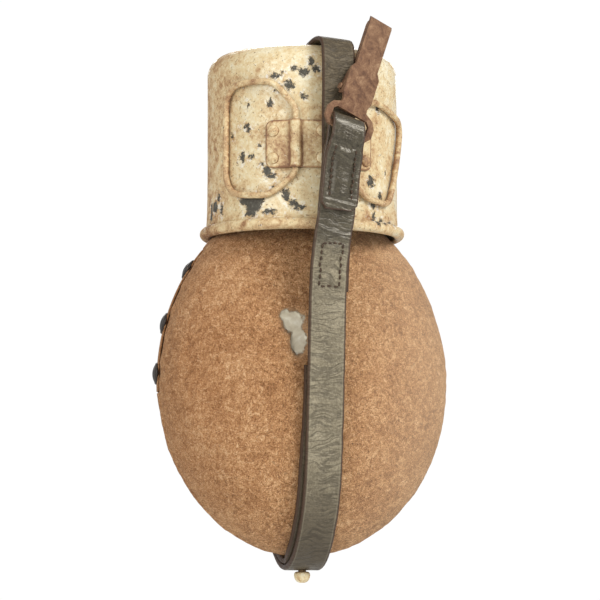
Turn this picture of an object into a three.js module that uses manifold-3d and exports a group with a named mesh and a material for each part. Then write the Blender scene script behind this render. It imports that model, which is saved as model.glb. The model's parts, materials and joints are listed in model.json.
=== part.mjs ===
// A felt-covered aluminium field canteen with an inverted drinking cup strapped over its neck.
// Millimetres, +Z up. The origin is the flat foot of the stud under the canteen, on the flask's vertical axis.
// The carrying hook and the seam side of the cup face -Y; the buckle is on the +Y side; the cover's snaps are at -X.

import * as THREE from 'three';
import { mergeVertices } from 'three/addons/utils/BufferGeometryUtils.js';
import Module from 'manifold-3d';

const wasm = await Module();
wasm.setup();

// ---------- driving dimensions ----------
const STUD_DROP = 11.5; // foot of the stud below the bottom of the felt

const BODY = {
  halfWidth: 68, // outside of the felt, along X
  halfBack: 38, // along -Y, the flatter side that lies against the wearer
  halfFront: 41, // along +Y
  middle: 78, // height of the widest section above the bottom of the felt
  lower: 78, // semi-height below the middle
  upper: 84, // semi-height above the middle, in the XZ outline
  upperDeep: 92, // semi-height above the middle, in the YZ outline, which is fuller at the shoulder
  top: 157, // where the felt stops round the neck
};
const FELT = 3.2;
const GAP = 0.3; // between neighbouring pieces
const FLASK_INSET = FELT + 0.4;
const FLASK_WALL = 1.2;

const NECK = { radius: 13.5, bore: 11.5, top: 176 };
const THREAD = { depth: 1.0, pitch: 2.5, turns: 2.4, start: 166 };
const CAP = { radius: 17.5, bore: 15.2, bottom: 163, top: 181.2, gasket: 2.2 };
const BRIDGE = { width: 9, height: 5, thickness: 1.2, halfSpan: 11 };

const CUP = { rim: 143.7, top: 227.2, radius: 43.2, wall: 1.0, corner: 9, bead: 2.6, turn: -4.2 };
const BRACKET = { halfAngle: 33, low: 171, high: 192.5, thickness: 1.0, corner: 3.5 };
const WIRE = 1.5; // radius of the cup handle wire
const HANDLE_RADIUS = CUP.radius + GAP + WIRE; // distance of the folded wire's centre from the cup's axis
const PIVOT_ANGLE = 15; // handle pivots, either side of the middle of the bracket
const RIVET = { head: 2.5, shank: 1.4, angle: 28.2, low: 175.4, high: 187.6 };

const LEATHER = 2.6;
const LAYER = LEATHER + GAP; // pitch of stacked leather layers
const STRAP_WIDTH = 17;
const LOOP_WIDTH = 16;
const FELT_CLEARANCE = 0.4; // from the felt to the inside of the leather
const HUG = FELT_CLEARANCE + LEATHER / 2; // from the felt to the middle of a strap lying on it

const STUD = { head: 3.6, neck: 1.8, foot: 1.2, headTop: -6.4, washer: 7, washerThick: 0.8 };

const CLOSING = { back: -49.4, front: 48.9, crown: CUP.top + FELT_CLEARANCE + LEATHER / 2 };
const STRAP_BACK = CLOSING.back - LAYER; // middle of the carrying strap where it passes the cup's rim
const LOOP = { foot: 149.2, bar: 187.3, end: 153.5, lean: 6, standOff: 3.8, shift: 3.2, narrowing: 0.26 };

const HOOK = {
  sheet: 1.6,
  bar: 1.2, // half-height of the slot's bar
  slotTop: 8.2,
  slotHalf: 9.5,
  ringHalf: 12.5,
  crown: 56.8,
  depth: 7.2, // outside of the crook, front to back
  stripHalf: 5.75,
  pointHalf: 3.8, // half-width of the crook's return
  pointEnd: 37,
  yaw: 12,
  slant: 18,
  tipBack: 8,
};
const GATE = { pinY: 2.9, pinZ: 19.5, pin: 0.8, halfWidth: 4.6, tip: 39.5, thickness: 1.1 };

const BUCKLE = { y: 47.4, z: 118, wire: 1.3, halfWidth: 10.4, reach: 18.55, tilt: 14, prong: 1.2 };

const SNAP = { heights: [130, 105, 82], y: 5, radius: 5, height: 2.2 };
const FLAP = { low: 74, high: 138, edge: 16, thickness: 1.6, swing: 26 };

const degrees = THREE.MathUtils.degToRad;

// ---------- materials ----------
const finish = (color, roughness, metalness) =>
  new THREE.MeshStandardMaterial({ color, roughness, metalness });
const FINISH = {
  felt: finish(0xa9744c, 1.0, 0.0),
  creamPaint: finish(0xd2bd8e, 0.6, 0.1),
  aluminium: finish(0xb9b9b2, 0.4, 0.9),
  blackLeather: finish(0x4b463f, 0.5, 0.0),
  darkLeather: finish(0x3b3430, 0.6, 0.0),
  rustySteel: finish(0x7a5243, 0.7, 0.6),
  blackPaint: finish(0x26221f, 0.4, 0.3),
  rubber: finish(0x6b2f24, 0.8, 0.0),
};

// ---------- solids ----------
function toSolid(geometry) {
  const bare = geometry.index ? geometry.toNonIndexed() : geometry.clone();
  bare.deleteAttribute('normal');
  bare.deleteAttribute('uv');
  const coordinates = bare.getAttribute('position').array;
  coordinates.forEach((value, i) => {
    coordinates[i] = Math.round(value * 1e4) / 1e4; // so that the two sides of a seam meet exactly
  });
  const merged = mergeVertices(bare, 1e-5);
  return new wasm.Manifold(
    new wasm.Mesh({
      numProp: 3,
      vertProperties: merged.attributes.position.array,
      triVerts: new Uint32Array(merged.index.array),
    }),
  );
}

function toGeometry(solid) {
  const mesh = solid.getMesh();
  const geometry = new THREE.BufferGeometry();
  geometry.setAttribute('position', new THREE.BufferAttribute(mesh.vertProperties, 3));
  geometry.setIndex(new THREE.BufferAttribute(mesh.triVerts, 1));
  const flat = geometry.toNonIndexed();
  flat.computeVertexNormals();
  return flat;
}

const asSolid = (thing) => (thing.isBufferGeometry ? toSolid(thing) : thing);
const join = (...pieces) => pieces.map(asSolid).reduce((a, b) => a.add(b));
const cut = (body, ...tools) => tools.map(asSolid).reduce((a, b) => a.subtract(b), asSolid(body));
const common = (a, b) => asSolid(a).intersect(asSolid(b));

function piece(name, shape, material) {
  const mesh = new THREE.Mesh(toGeometry(asSolid(shape)), material);
  mesh.name = name;
  return mesh;
}

// Turns a profile of [radius, height] points, listed from the bottom up on the outside, about Z.
function lathe(points, segments = 24) {
  const profile = points.map(([r, z]) => new THREE.Vector2(r, z));
  return new THREE.LatheGeometry(profile, segments).rotateX(Math.PI / 2);
}

const disc = (radius, low, high, segments = 24) =>
  lathe([[0, low], [radius, low], [radius, high], [0, high]], segments);

function block(x0, x1, y0, y1, z0, z1) {
  return new THREE.BoxGeometry(x1 - x0, y1 - y0, z1 - z0)
    .translate((x0 + x1) / 2, (y0 + y1) / 2, (z0 + z1) / 2);
}

// A round bar between two points.
function bar(from, to, radius, segments = 10) {
  const axis = new THREE.Vector3().subVectors(to, from);
  const turn = new THREE.Quaternion().setFromUnitVectors(
    new THREE.Vector3(0, 1, 0),
    axis.clone().normalize(),
  );
  const middle = new THREE.Vector3().addVectors(from, to).multiplyScalar(0.5);
  return new THREE.CylinderGeometry(radius, radius, axis.length(), segments)
    .applyQuaternion(turn)
    .translate(middle.x, middle.y, middle.z);
}

const point = (x, y, z) => new THREE.Vector3(x, y, z);

// An outline in the YZ plane, extruded along X and centred on it.
function sideExtrusion(outline, width) {
  const toSidePlane = new THREE.Matrix4().makeBasis(point(0, 1, 0), point(0, 0, 1), point(1, 0, 0));
  return new THREE.ExtrudeGeometry(outline, { depth: width, bevelEnabled: false })
    .translate(0, 0, -width / 2)
    .applyMatrix4(toSidePlane);
}

// A leather ribbon of even thickness whose middle line runs through [y, z] points, closest together where it bends.
function ribbon(points, width, perSegment, thickness = LEATHER) {
  const samples = perSegment * (points.length - 1);
  const line = new THREE.CatmullRomCurve3(points.map(([y, z]) => point(0, y, z)), false, 'centripetal');
  const left = [];
  const right = [];
  for (let i = 0; i <= samples; i++) {
    const middle = line.getPoint(i / samples);
    const along = line.getTangent(i / samples);
    const at = new THREE.Vector2(middle.y, middle.z);
    const across = new THREE.Vector2(-along.z, along.y).multiplyScalar(thickness / 2);
    left.push(at.clone().add(across));
    right.push(at.clone().sub(across));
  }
  return sideExtrusion(new THREE.Shape([...right, ...left.reverse()]), width);
}

// Moves each vertex sideways, by a distance that depends on its y and z.
function leanSideways(geometry, shiftAt) {
  const p = geometry.getAttribute('position');
  for (let i = 0; i < p.count; i++) p.setX(i, p.getX(i) + shiftAt(p.getY(i), p.getZ(i)));
  return geometry;
}

// ---------- the body's shape ----------
const arch = (height, semi) => Math.sqrt(Math.max(0, 1 - (height / semi) ** 2));

// Half-width along X of the surface that lies an inset inside the felt's outside.
function halfWidthAt(z, inset = 0) {
  const semi = (z < BODY.middle ? BODY.lower : BODY.upper) - inset;
  return (BODY.halfWidth - inset) * arch(z - BODY.middle, semi);
}

function halfDepthAt(z, towardsFront, inset = 0) {
  const semi = (z < BODY.middle ? BODY.lower : BODY.upperDeep) - inset;
  const half = towardsFront ? BODY.halfFront : BODY.halfBack;
  return (half - inset) * arch(z - BODY.middle, semi);
}

// A solid of the body's shape, cut flat at the height top. Every inset shares the same rings, so layers nest evenly.
function bodySolid(inset, top, ringStep = 10, segments = 36) {
  const profile = [];
  const semiLower = BODY.lower - inset;
  const semiUpper = BODY.upper - inset;
  const last = THREE.MathUtils.radToDeg(Math.asin(Math.min(0.995, (top - BODY.middle) / semiUpper)));
  const rings = [];
  for (let ring = -90; ring < last - 1; ring += ringStep) rings.push(ring);
  rings.push(last);
  for (const ring of rings) {
    const semi = ring < 0 ? semiLower : semiUpper;
    const radius = ring === -90 ? 0 : (BODY.halfWidth - inset) * Math.cos(degrees(ring));
    profile.push([radius, BODY.middle + semi * Math.sin(degrees(ring))]);
  }
  profile.push([0, profile.at(-1)[1]]);
  const geometry = lathe(profile, segments);
  const p = geometry.getAttribute('position');
  for (let i = 0; i < p.count; i++) {
    const z = p.getZ(i);
    const wide = halfWidthAt(z, inset);
    const poleRatio = (BODY.halfFront - inset) / (BODY.halfWidth - inset);
    const ratio = wide > 1e-3 ? halfDepthAt(z, p.getY(i) > 0, inset) / wide : poleRatio;
    p.setY(i, p.getY(i) * ratio);
  }
  return toSolid(geometry);
}

// A point [y, z] on the lower half of the body's middle outline, stood off by a distance.
function onBelly(side, angle, standOff) {
  const half = side < 0 ? BODY.halfBack : BODY.halfFront;
  return [
    side * (half + standOff) * Math.cos(angle),
    BODY.middle - (BODY.lower + standOff) * Math.sin(angle),
  ];
}

// ---------- flask and its screw cap ----------
function neckThread() {
  class Helix extends THREE.Curve {
    getPoint(t, target = new THREE.Vector3()) {
      const angle = 2 * Math.PI * THREAD.turns * t;
      const rise = THREAD.start + THREAD.pitch * THREAD.turns * t;
      return target.set(NECK.radius * Math.cos(angle), NECK.radius * Math.sin(angle), rise);
    }
  }
  const ridge = new THREE.Shape();
  ridge.absarc(0, 0, THREAD.depth, 0, 2 * Math.PI);
  return new THREE.ExtrudeGeometry(ridge, {
    steps: 26,
    curveSegments: 2,
    bevelEnabled: false,
    extrudePath: new Helix(),
  });
}

function flask() {
  const neckRoot = 140;
  const outside = join(
    bodySolid(FLASK_INSET, BODY.top - 0.5),
    disc(NECK.radius, neckRoot, NECK.top, 28),
    neckThread(),
  );
  const inside = join(
    bodySolid(FLASK_INSET + FLASK_WALL, BODY.top - 2),
    disc(NECK.bore, neckRoot, NECK.top + 1, 28),
  );
  return piece('flask', cut(outside, inside), FINISH.aluminium);
}

function capGasket() {
  const low = NECK.top + GAP;
  return piece('cap_gasket', disc(CAP.bore - GAP, low, low + CAP.gasket), FINISH.rubber);
}

const CAP_CEILING = NECK.top + 2 * GAP + CAP.gasket;

function screwCap() {
  const grip = 1.2;
  const shell = lathe([
    [CAP.bore, CAP.bottom],
    [CAP.radius, CAP.bottom],
    [CAP.radius, CAP.top - grip],
    [CAP.radius - grip, CAP.top],
    [0, CAP.top],
    [0, CAP_CEILING],
    [CAP.bore, CAP_CEILING],
    [CAP.bore, CAP.bottom],
  ], 28);
  return piece('screw_cap', shell, FINISH.aluminium);
}

// The bent strip on top of the cap that a strap can be passed under.
function capBridge() {
  const { width, height, thickness, halfSpan } = BRIDGE;
  const foot = CAP.top + GAP;
  const outline = new THREE.Shape([
    new THREE.Vector2(-halfSpan, foot),
    new THREE.Vector2(-halfSpan + 3, foot),
    new THREE.Vector2(-halfSpan + 4, foot + height - thickness),
    new THREE.Vector2(halfSpan - 4, foot + height - thickness),
    new THREE.Vector2(halfSpan - 3, foot),
    new THREE.Vector2(halfSpan, foot),
    new THREE.Vector2(halfSpan, foot + thickness),
    new THREE.Vector2(halfSpan - 2.2, foot + thickness),
    new THREE.Vector2(halfSpan - 3.2, foot + height),
    new THREE.Vector2(-halfSpan + 3.2, foot + height),
    new THREE.Vector2(-halfSpan + 2.2, foot + thickness),
    new THREE.Vector2(-halfSpan, foot + thickness),
  ]);
  return piece('cap_bridge', sideExtrusion(outline, width), FINISH.aluminium);
}

// ---------- felt cover ----------
const shellBand = (outer, inner, box) =>
  common(cut(bodySolid(outer, BODY.top), bodySolid(inner, BODY.top)), box);

function snapPlace(height) {
  const x = -halfWidthAt(height) * arch(SNAP.y, halfDepthAt(height, true));
  const normal = point(
    x / BODY.halfWidth ** 2,
    SNAP.y / BODY.halfFront ** 2,
    (height - BODY.middle) / (height < BODY.middle ? BODY.lower : BODY.upper) ** 2,
  ).normalize();
  return { at: point(x, SNAP.y, height), normal };
}

// Turns a solid built on the Z axis to stand on the felt at a snap.
function atSnap(geometry, { at, normal }) {
  const turn = new THREE.Quaternion().setFromUnitVectors(point(0, 0, 1), normal);
  return geometry.applyQuaternion(turn).translate(at.x, at.y, at.z);
}

// The flap swings out about the chord of its fixed edge, so the panel is cut back by the path of that edge.
function swingFlap(geometry, angle) {
  const [foot, head] = [FLAP.low, FLAP.high].map((z) =>
    point(-halfWidthAt(z) * arch(FLAP.edge, halfDepthAt(z, true)), FLAP.edge, z),
  );
  const turn = new THREE.Quaternion().setFromAxisAngle(foot.clone().sub(head).normalize(), degrees(angle));
  return geometry.translate(-foot.x, -foot.y, -foot.z).applyQuaternion(turn).translate(foot.x, foot.y, foot.z);
}

function feltPanels() {
  const shell = cut(
    bodySolid(0, BODY.top),
    bodySolid(FELT, BODY.top + 3),
    disc(NECK.radius + 3.5, 140, BODY.top + 5),
    disc(STUD.neck + 0.5, -5, 6, 12),
    disc(STUD.washer + GAP, 1.9, 12, 16),
  );
  const flapMargin = 0.4;
  const [low, high] = [FLAP.low - flapMargin, FLAP.high + flapMargin];
  const underlap = () => shellBand(-1, FLAP.thickness + 0.35, block(-80, -20, -0.2, FLAP.edge + flapMargin, low, high));
  const swept = [0, 0.25, 0.5, 0.75, 1].map((share) => swingFlap(toGeometry(underlap()), share * FLAP.swing));
  const rabbet = shellBand(-1, FLAP.thickness + 0.8, block(-80, -20, -2.8, 0, low, high));
  const studHoles = SNAP.heights.map((h) => atSnap(disc(2.7, -4.5, -1.5, 10), snapPlace(h)));
  const seam = GAP / 2;
  return [
    piece('felt_back_panel', cut(common(shell, block(-90, 90, -60, -seam, -10, 170)), rabbet), FINISH.felt),
    piece(
      'felt_front_panel',
      cut(common(shell, block(-90, 90, seam, 60, -10, 170)), ...swept, ...studHoles),
      FINISH.felt,
    ),
  ];
}

function coverFlap() {
  const layer = shellBand(0, FLAP.thickness, block(-80, -20, GAP, FLAP.edge, FLAP.low, FLAP.high));
  const holes = SNAP.heights.map((h) => atSnap(disc(2.7, -4, 3, 10), snapPlace(h)));
  return piece('cover_flap', cut(layer, ...holes), FINISH.felt);
}

function snaps() {
  return SNAP.heights.flatMap((height, i) => {
    const cap = lathe([
      [1.7, -1.8],
      [2.4, -1.8],
      [2.4, GAP],
      [SNAP.radius, GAP],
      [SNAP.radius * 0.86, SNAP.height * 0.75],
      [SNAP.radius * 0.5, SNAP.height],
      [0, SNAP.height + GAP],
      [0, 0],
      [1.7, 0],
      [1.7, -1.8],
    ], 14);
    const stud = lathe([[0, -3.1], [2.4, -3.1], [2.4, -2.6], [1.1, -2.4], [1.3, -1.0], [0, -0.5]], 10);
    return [
      piece(`snap_cap_${i + 1}`, atSnap(cap, snapPlace(height)), FINISH.blackPaint),
      piece(`snap_stud_${i + 1}`, atSnap(stud, snapPlace(height)), FINISH.blackPaint),
    ];
  });
}

// ---------- stud under the canteen ----------
function bottomStud() {
  const { head, neck, foot, headTop, washer, washerThick } = STUD;
  const washerLow = 2.2;
  const stud = lathe([
    [0, -STUD_DROP],
    [foot, -STUD_DROP],
    [head * 0.72, -STUD_DROP + 1.2],
    [head, -STUD_DROP + 2.9],
    [head * 0.9, headTop - 0.4],
    [head * 0.6, headTop],
    [neck, headTop],
    [neck, washerLow + washerThick],
    [0, washerLow + washerThick],
  ], 16);
  const ring = cut(disc(washer, washerLow, washerLow + washerThick, 16), disc(neck + GAP, 0, 6, 12));
  return [piece('bottom_stud', stud, FINISH.creamPaint), piece('stud_washer', ring, FINISH.aluminium)];
}

// ---------- leather ----------
const studHole = () => disc(STUD.neck + 0.4, -12, 2, 12);

function basePatch() {
  const reach = degrees(32);
  const points = [];
  for (const side of [-1, 1])
    for (let i = 0; i <= 4; i++) {
      const angle = Math.PI / 2 - reach * (side < 0 ? 1 - i / 4 : i / 4);
      if (side < 0 || i > 0) points.push(onBelly(side, angle, HUG));
    }
  return piece('base_patch', cut(ribbon(points, STRAP_WIDTH, 2), studHole()), FINISH.darkLeather);
}

// How far the middle of the carrying strap stands off the felt: it rises over the base patch.
function strapStandOff(angle) {
  return HUG + LAYER * THREE.MathUtils.smoothstep(angle, degrees(42), degrees(54));
}

// Points every few degrees along the belly, from one angle to another.
function alongBelly(side, from, to, count) {
  const points = [];
  for (let i = 0; i <= count; i++) {
    const angle = degrees(THREE.MathUtils.lerp(from, to, i / count));
    points.push(onBelly(side, angle, strapStandOff(angle)));
  }
  return points;
}

// Points round a fold in the YZ plane, from one angle to another, measured from +Y towards +Z.
function aroundFold(y, z, radius, from, to, count = 6) {
  const points = [];
  for (let i = 0; i <= count; i++) {
    const angle = degrees(THREE.MathUtils.lerp(from, to, i / count));
    points.push([y + radius * Math.cos(angle), z + radius * Math.sin(angle)]);
  }
  return points;
}

// The long strap: chape round the buckle's bar, down the front, under the stud and up the back.
function carryingStrap() {
  const { y, z, wire } = BUCKLE;
  const fold = wire + GAP + LEATHER / 2;
  const points = [
    [46.6, 96.5],
    [46.9, 104],
    [49.4, 112],
    ...aroundFold(y, z, fold, 0, 180),
    [44.1, 108],
    [43.7, 98],
    ...alongBelly(1, 4, 90, 12),
    ...alongBelly(-1, 83, 16, 10),
    [-45.1, 102],
    [STRAP_BACK, 148],
  ];
  const lean = (yy, zz) => (yy < 0 ? LOOP.shift * THREE.MathUtils.clamp((zz - 60) / 88, 0, 1) : 0);
  const strap = leanSideways(ribbon(points, STRAP_WIDTH, 2), lean);
  const prongSlot = block(-2.6, 2.6, 44, 54, 113.5, 122.6);
  return piece('carrying_strap', cut(strap, studHole(), prongSlot), FINISH.blackLeather);
}

// The thinner strap stitched inside the carrying strap, over the cup and down to the buckle.
function closingStrap() {
  const { back, front, crown } = CLOSING;
  const corner = 8.5;
  const turn = corner * Math.SQRT1_2;
  const points = [
    [-44.1, 116],
    [-48.5, 144],
    [back, 153],
    [back, 185],
    [back, crown - corner],
    [back + corner - turn, crown - corner + turn],
    [back + corner, crown],
    [-20, crown],
    [20, crown],
    [front - corner, crown],
    [front - corner + turn, crown - corner + turn],
    [front, crown - corner],
    [front, 185],
    [front, 150],
    [front, 140],
    [49.3, 134],
    [51.3, 127],
    [53.3, 118],
    [52.6, 111.5],
    [50, 104],
    [49.4, 97],
    [48.4, 85],
  ];
  const lean = (y) => 2.0 * THREE.MathUtils.clamp((40 - y) / 80, 0, 1);
  const strap = leanSideways(ribbon(points, STRAP_WIDTH - 1, 2), lean);
  const prongSlot = block(-1.8, 1.8, 46, 58, 115.5, 133);
  const spareHoles = [109, 101, 93].map((z) => bar(point(0, 40, z), point(0, 56, z), 1.6, 8));
  return piece('closing_strap', cut(strap, prongSlot, ...spareHoles), FINISH.darkLeather);
}

function strapKeeper() {
  const [low, high] = [96, 102.5];
  const band = cut(block(-10.5, 10.5, 40.6, 53.0, low, high), block(-8.9, 8.9, 42, 51.6, low - 1, high + 1));
  return piece('strap_keeper', band, FINISH.blackLeather);
}

// ---------- cup ----------
function cupBody() {
  const { rim, top, radius, wall, corner, bead } = CUP;
  const beadZ = rim + bead;
  const beadR = radius + 0.7;
  const outside = [];
  for (let i = 0; i <= 8; i++) {
    const angle = -Math.PI * 0.75 + (i / 8) * Math.PI * 1.35;
    outside.push([beadR + bead * Math.cos(angle), beadZ + bead * Math.sin(angle)]);
  }
  outside.push([radius, rim + 2 * bead + 1.5]);
  for (let i = 0; i <= 4; i++) {
    const angle = (i / 4) * (Math.PI / 2);
    outside.push([radius - corner + corner * Math.cos(angle), top - corner + corner * Math.sin(angle)]);
  }
  outside.push([0, top]);
  const inside = [[0, top - wall]];
  for (let i = 4; i >= 0; i--) {
    const angle = (i / 4) * (Math.PI / 2);
    const inner = corner - wall;
    inside.push([radius - corner + inner * Math.cos(angle), top - corner + inner * Math.sin(angle)]);
  }
  const shell = lathe([...outside, ...inside, [radius - wall, rim + 1], outside[0]], 40);
  const holes = rivetPlaces().map(({ angle, z }) => radialBar(angle, z, RIVET.shank + GAP, 38, 50));
  return piece('cup_body', cut(shell, ...holes), FINISH.creamPaint);
}

// A point on a cylinder round the cup's axis; angle 0 faces -Y and positive angles go towards +X.
const round = (radius, angle, z) =>
  point(radius * Math.sin(degrees(angle)), -radius * Math.cos(degrees(angle)), z);

const radialBar = (angle, z, radius, from, to) =>
  bar(round(from, angle, z), round(to, angle, z), radius, 10);

const rivetPlaces = () =>
  [-RIVET.angle, 0, RIVET.angle].flatMap((angle) => [RIVET.low, RIVET.high].map((z) => ({ angle, z })));

// The strip riveted to the cup, which wraps over the straight part of each handle.
function handleBracket() {
  const { halfAngle, low, high, thickness, corner } = BRACKET;
  const inner = CUP.radius + GAP;
  const sector = new THREE.Shape();
  const from = -Math.PI / 2 - degrees(halfAngle);
  const to = -Math.PI / 2 + degrees(halfAngle);
  sector.absarc(0, 0, inner + thickness, from, to, false);
  sector.absarc(0, 0, inner, to, from, true);
  const upright = { depth: high - low, bevelEnabled: false, curveSegments: 10 };
  const plate = new THREE.ExtrudeGeometry(sector, upright).translate(0, 0, low);
  const barrel = WIRE + 0.2;
  const at = (angle, z) => round(HANDLE_RADIUS, angle, z);
  const pivots = [-PIVOT_ANGLE, PIVOT_ANGLE];
  const shells = pivots.map((a) => bar(at(a, low), at(a, high), barrel + thickness, 16));
  const bores = pivots.map((a) => bar(at(a, low - 1), at(a, high + 1), barrel, 16));

  const half = (inner + thickness) * Math.sin(degrees(halfAngle)) + 0.1;
  const face = new THREE.Shape();
  face.absarc(half - corner, high - corner, corner, 0, Math.PI / 2, false);
  face.absarc(-half + corner, high - corner, corner, Math.PI / 2, Math.PI, false);
  face.absarc(-half + corner, low + corner, corner, Math.PI, 1.5 * Math.PI, false);
  face.absarc(half - corner, low + corner, corner, 1.5 * Math.PI, 2 * Math.PI, false);
  const outline = new THREE.ExtrudeGeometry(face, { depth: 30, bevelEnabled: false, curveSegments: 3 })
    .rotateX(Math.PI / 2)
    .translate(0, -25, 0);
  const holes = rivetPlaces().map(({ angle, z }) => radialBar(angle, z, RIVET.shank + GAP, 38, 50));
  const bracket = cut(join(plate, ...shells), disc(inner, low - 2, high + 2, 40), ...bores, ...holes);
  return piece('handle_bracket', common(bracket, outline), FINISH.creamPaint);
}

function bracketRivets() {
  const { head, shank } = RIVET;
  const tailTop = CUP.radius - CUP.wall - GAP;
  const headFoot = CUP.radius + GAP + BRACKET.thickness + GAP;
  const profile = [
    [0, tailTop - 1],
    [shank + 0.8, tailTop - 1],
    [shank + 0.8, tailTop],
    [shank, tailTop],
    [shank, headFoot],
    [head, headFoot],
    [head * 0.85, headFoot + 0.8],
    [head * 0.45, headFoot + 1.4],
    [0, headFoot + 1.55],
  ];
  return rivetPlaces().map(({ angle, z }, i) => {
    const rivet = lathe(profile, 10).rotateX(Math.PI / 2).rotateZ(degrees(angle)).translate(0, 0, z);
    return piece(`bracket_rivet_${i + 1}`, rivet, FINISH.creamPaint);
  });
}

// A handle's outline: corners [degrees round the cup, height, fillet], from one wire end to the other.
const LEFT_HANDLE = [
  [-15, 198, 3],
  [-29, 209.7, 6],
  [-63.5, 209.7, 13],
  [-63, 158, 11],
  [-30, 157.2, 5],
  [-15, 168.5, 3],
];
const RIGHT_HANDLE = [
  [15, 198, 3],
  [35, 202.5, 3],
  [70, 195, 8],
  [48, 156.5, 6],
  [27, 158.5, 5],
  [15, 168.5, 3],
];

function cupHandle(name, corners) {
  const butt = (BRACKET.low + BRACKET.high) / 2;
  const flat = corners.map(([angle, z, fillet]) => ({
    corner: new THREE.Vector2(HANDLE_RADIUS * degrees(angle), z),
    fillet,
  }));
  const ends = [
    new THREE.Vector2(flat[0].corner.x, butt + 0.5),
    new THREE.Vector2(flat.at(-1).corner.x, butt - 0.5),
  ];
  const wire = new THREE.Path().moveTo(ends[0].x, ends[0].y);
  flat.forEach(({ corner, fillet }, i) => {
    const before = i === 0 ? ends[0] : flat[i - 1].corner;
    const after = i === flat.length - 1 ? ends[1] : flat[i + 1].corner;
    const start = corner.clone().add(before.clone().sub(corner).setLength(fillet));
    const end = corner.clone().add(after.clone().sub(corner).setLength(fillet));
    wire.lineTo(start.x, start.y);
    wire.quadraticCurveTo(corner.x, corner.y, end.x, end.y);
  });
  wire.lineTo(ends[1].x, ends[1].y);

  class AroundCup extends THREE.Curve {
    getPoint(t, target = new THREE.Vector3()) {
      const at = wire.getPoint(t);
      return target.copy(round(HANDLE_RADIUS, THREE.MathUtils.radToDeg(at.x / HANDLE_RADIUS), at.y));
    }
  }
  const section = new THREE.Shape();
  section.absarc(0, 0, WIRE, 0, 2 * Math.PI);
  const options = { steps: 48, curveSegments: 4, bevelEnabled: false, extrudePath: new AroundCup() };
  return piece(name, new THREE.ExtrudeGeometry(section, options), FINISH.creamPaint);
}

// ---------- carrying hook ----------
const LOOP_FOLD = HOOK.bar + 1.8 + LEATHER / 2; // from the slot's bar to the middle of the leather round it

// The upper part of the loop narrows, and slants with the slot's bar that it is folded over.
function hookLoop() {
  const fold = LOOP_FOLD;
  const barY = STRAP_BACK - fold;
  const points = [
    [STRAP_BACK, LOOP.foot],
    [STRAP_BACK, 170],
    ...aroundFold(barY, LOOP.bar, fold, 0, 180),
    [STRAP_BACK - LAYER - 4.2, 182],
    [STRAP_BACK - LAYER - 1.5, 176],
    [STRAP_BACK - LAYER - 0.1, 169],
    [STRAP_BACK - LAYER, LOOP.end],
  ];
  const leather = ribbon(points, LOOP_WIDTH, 2);
  const p = leather.getAttribute('position');
  for (let i = 0; i < p.count; i++) {
    const slant = THREE.MathUtils.clamp((p.getZ(i) - LOOP.foot) / (LOOP.bar - 6 - LOOP.foot), 0, 1);
    p.setX(i, p.getX(i) * (1 - LOOP.narrowing * slant));
    p.setZ(i, p.getZ(i) - p.getX(i) * slant * Math.tan(degrees(HOOK.slant)));
  }
  return piece('hook_loop', leather, FINISH.blackLeather);
}

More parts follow.
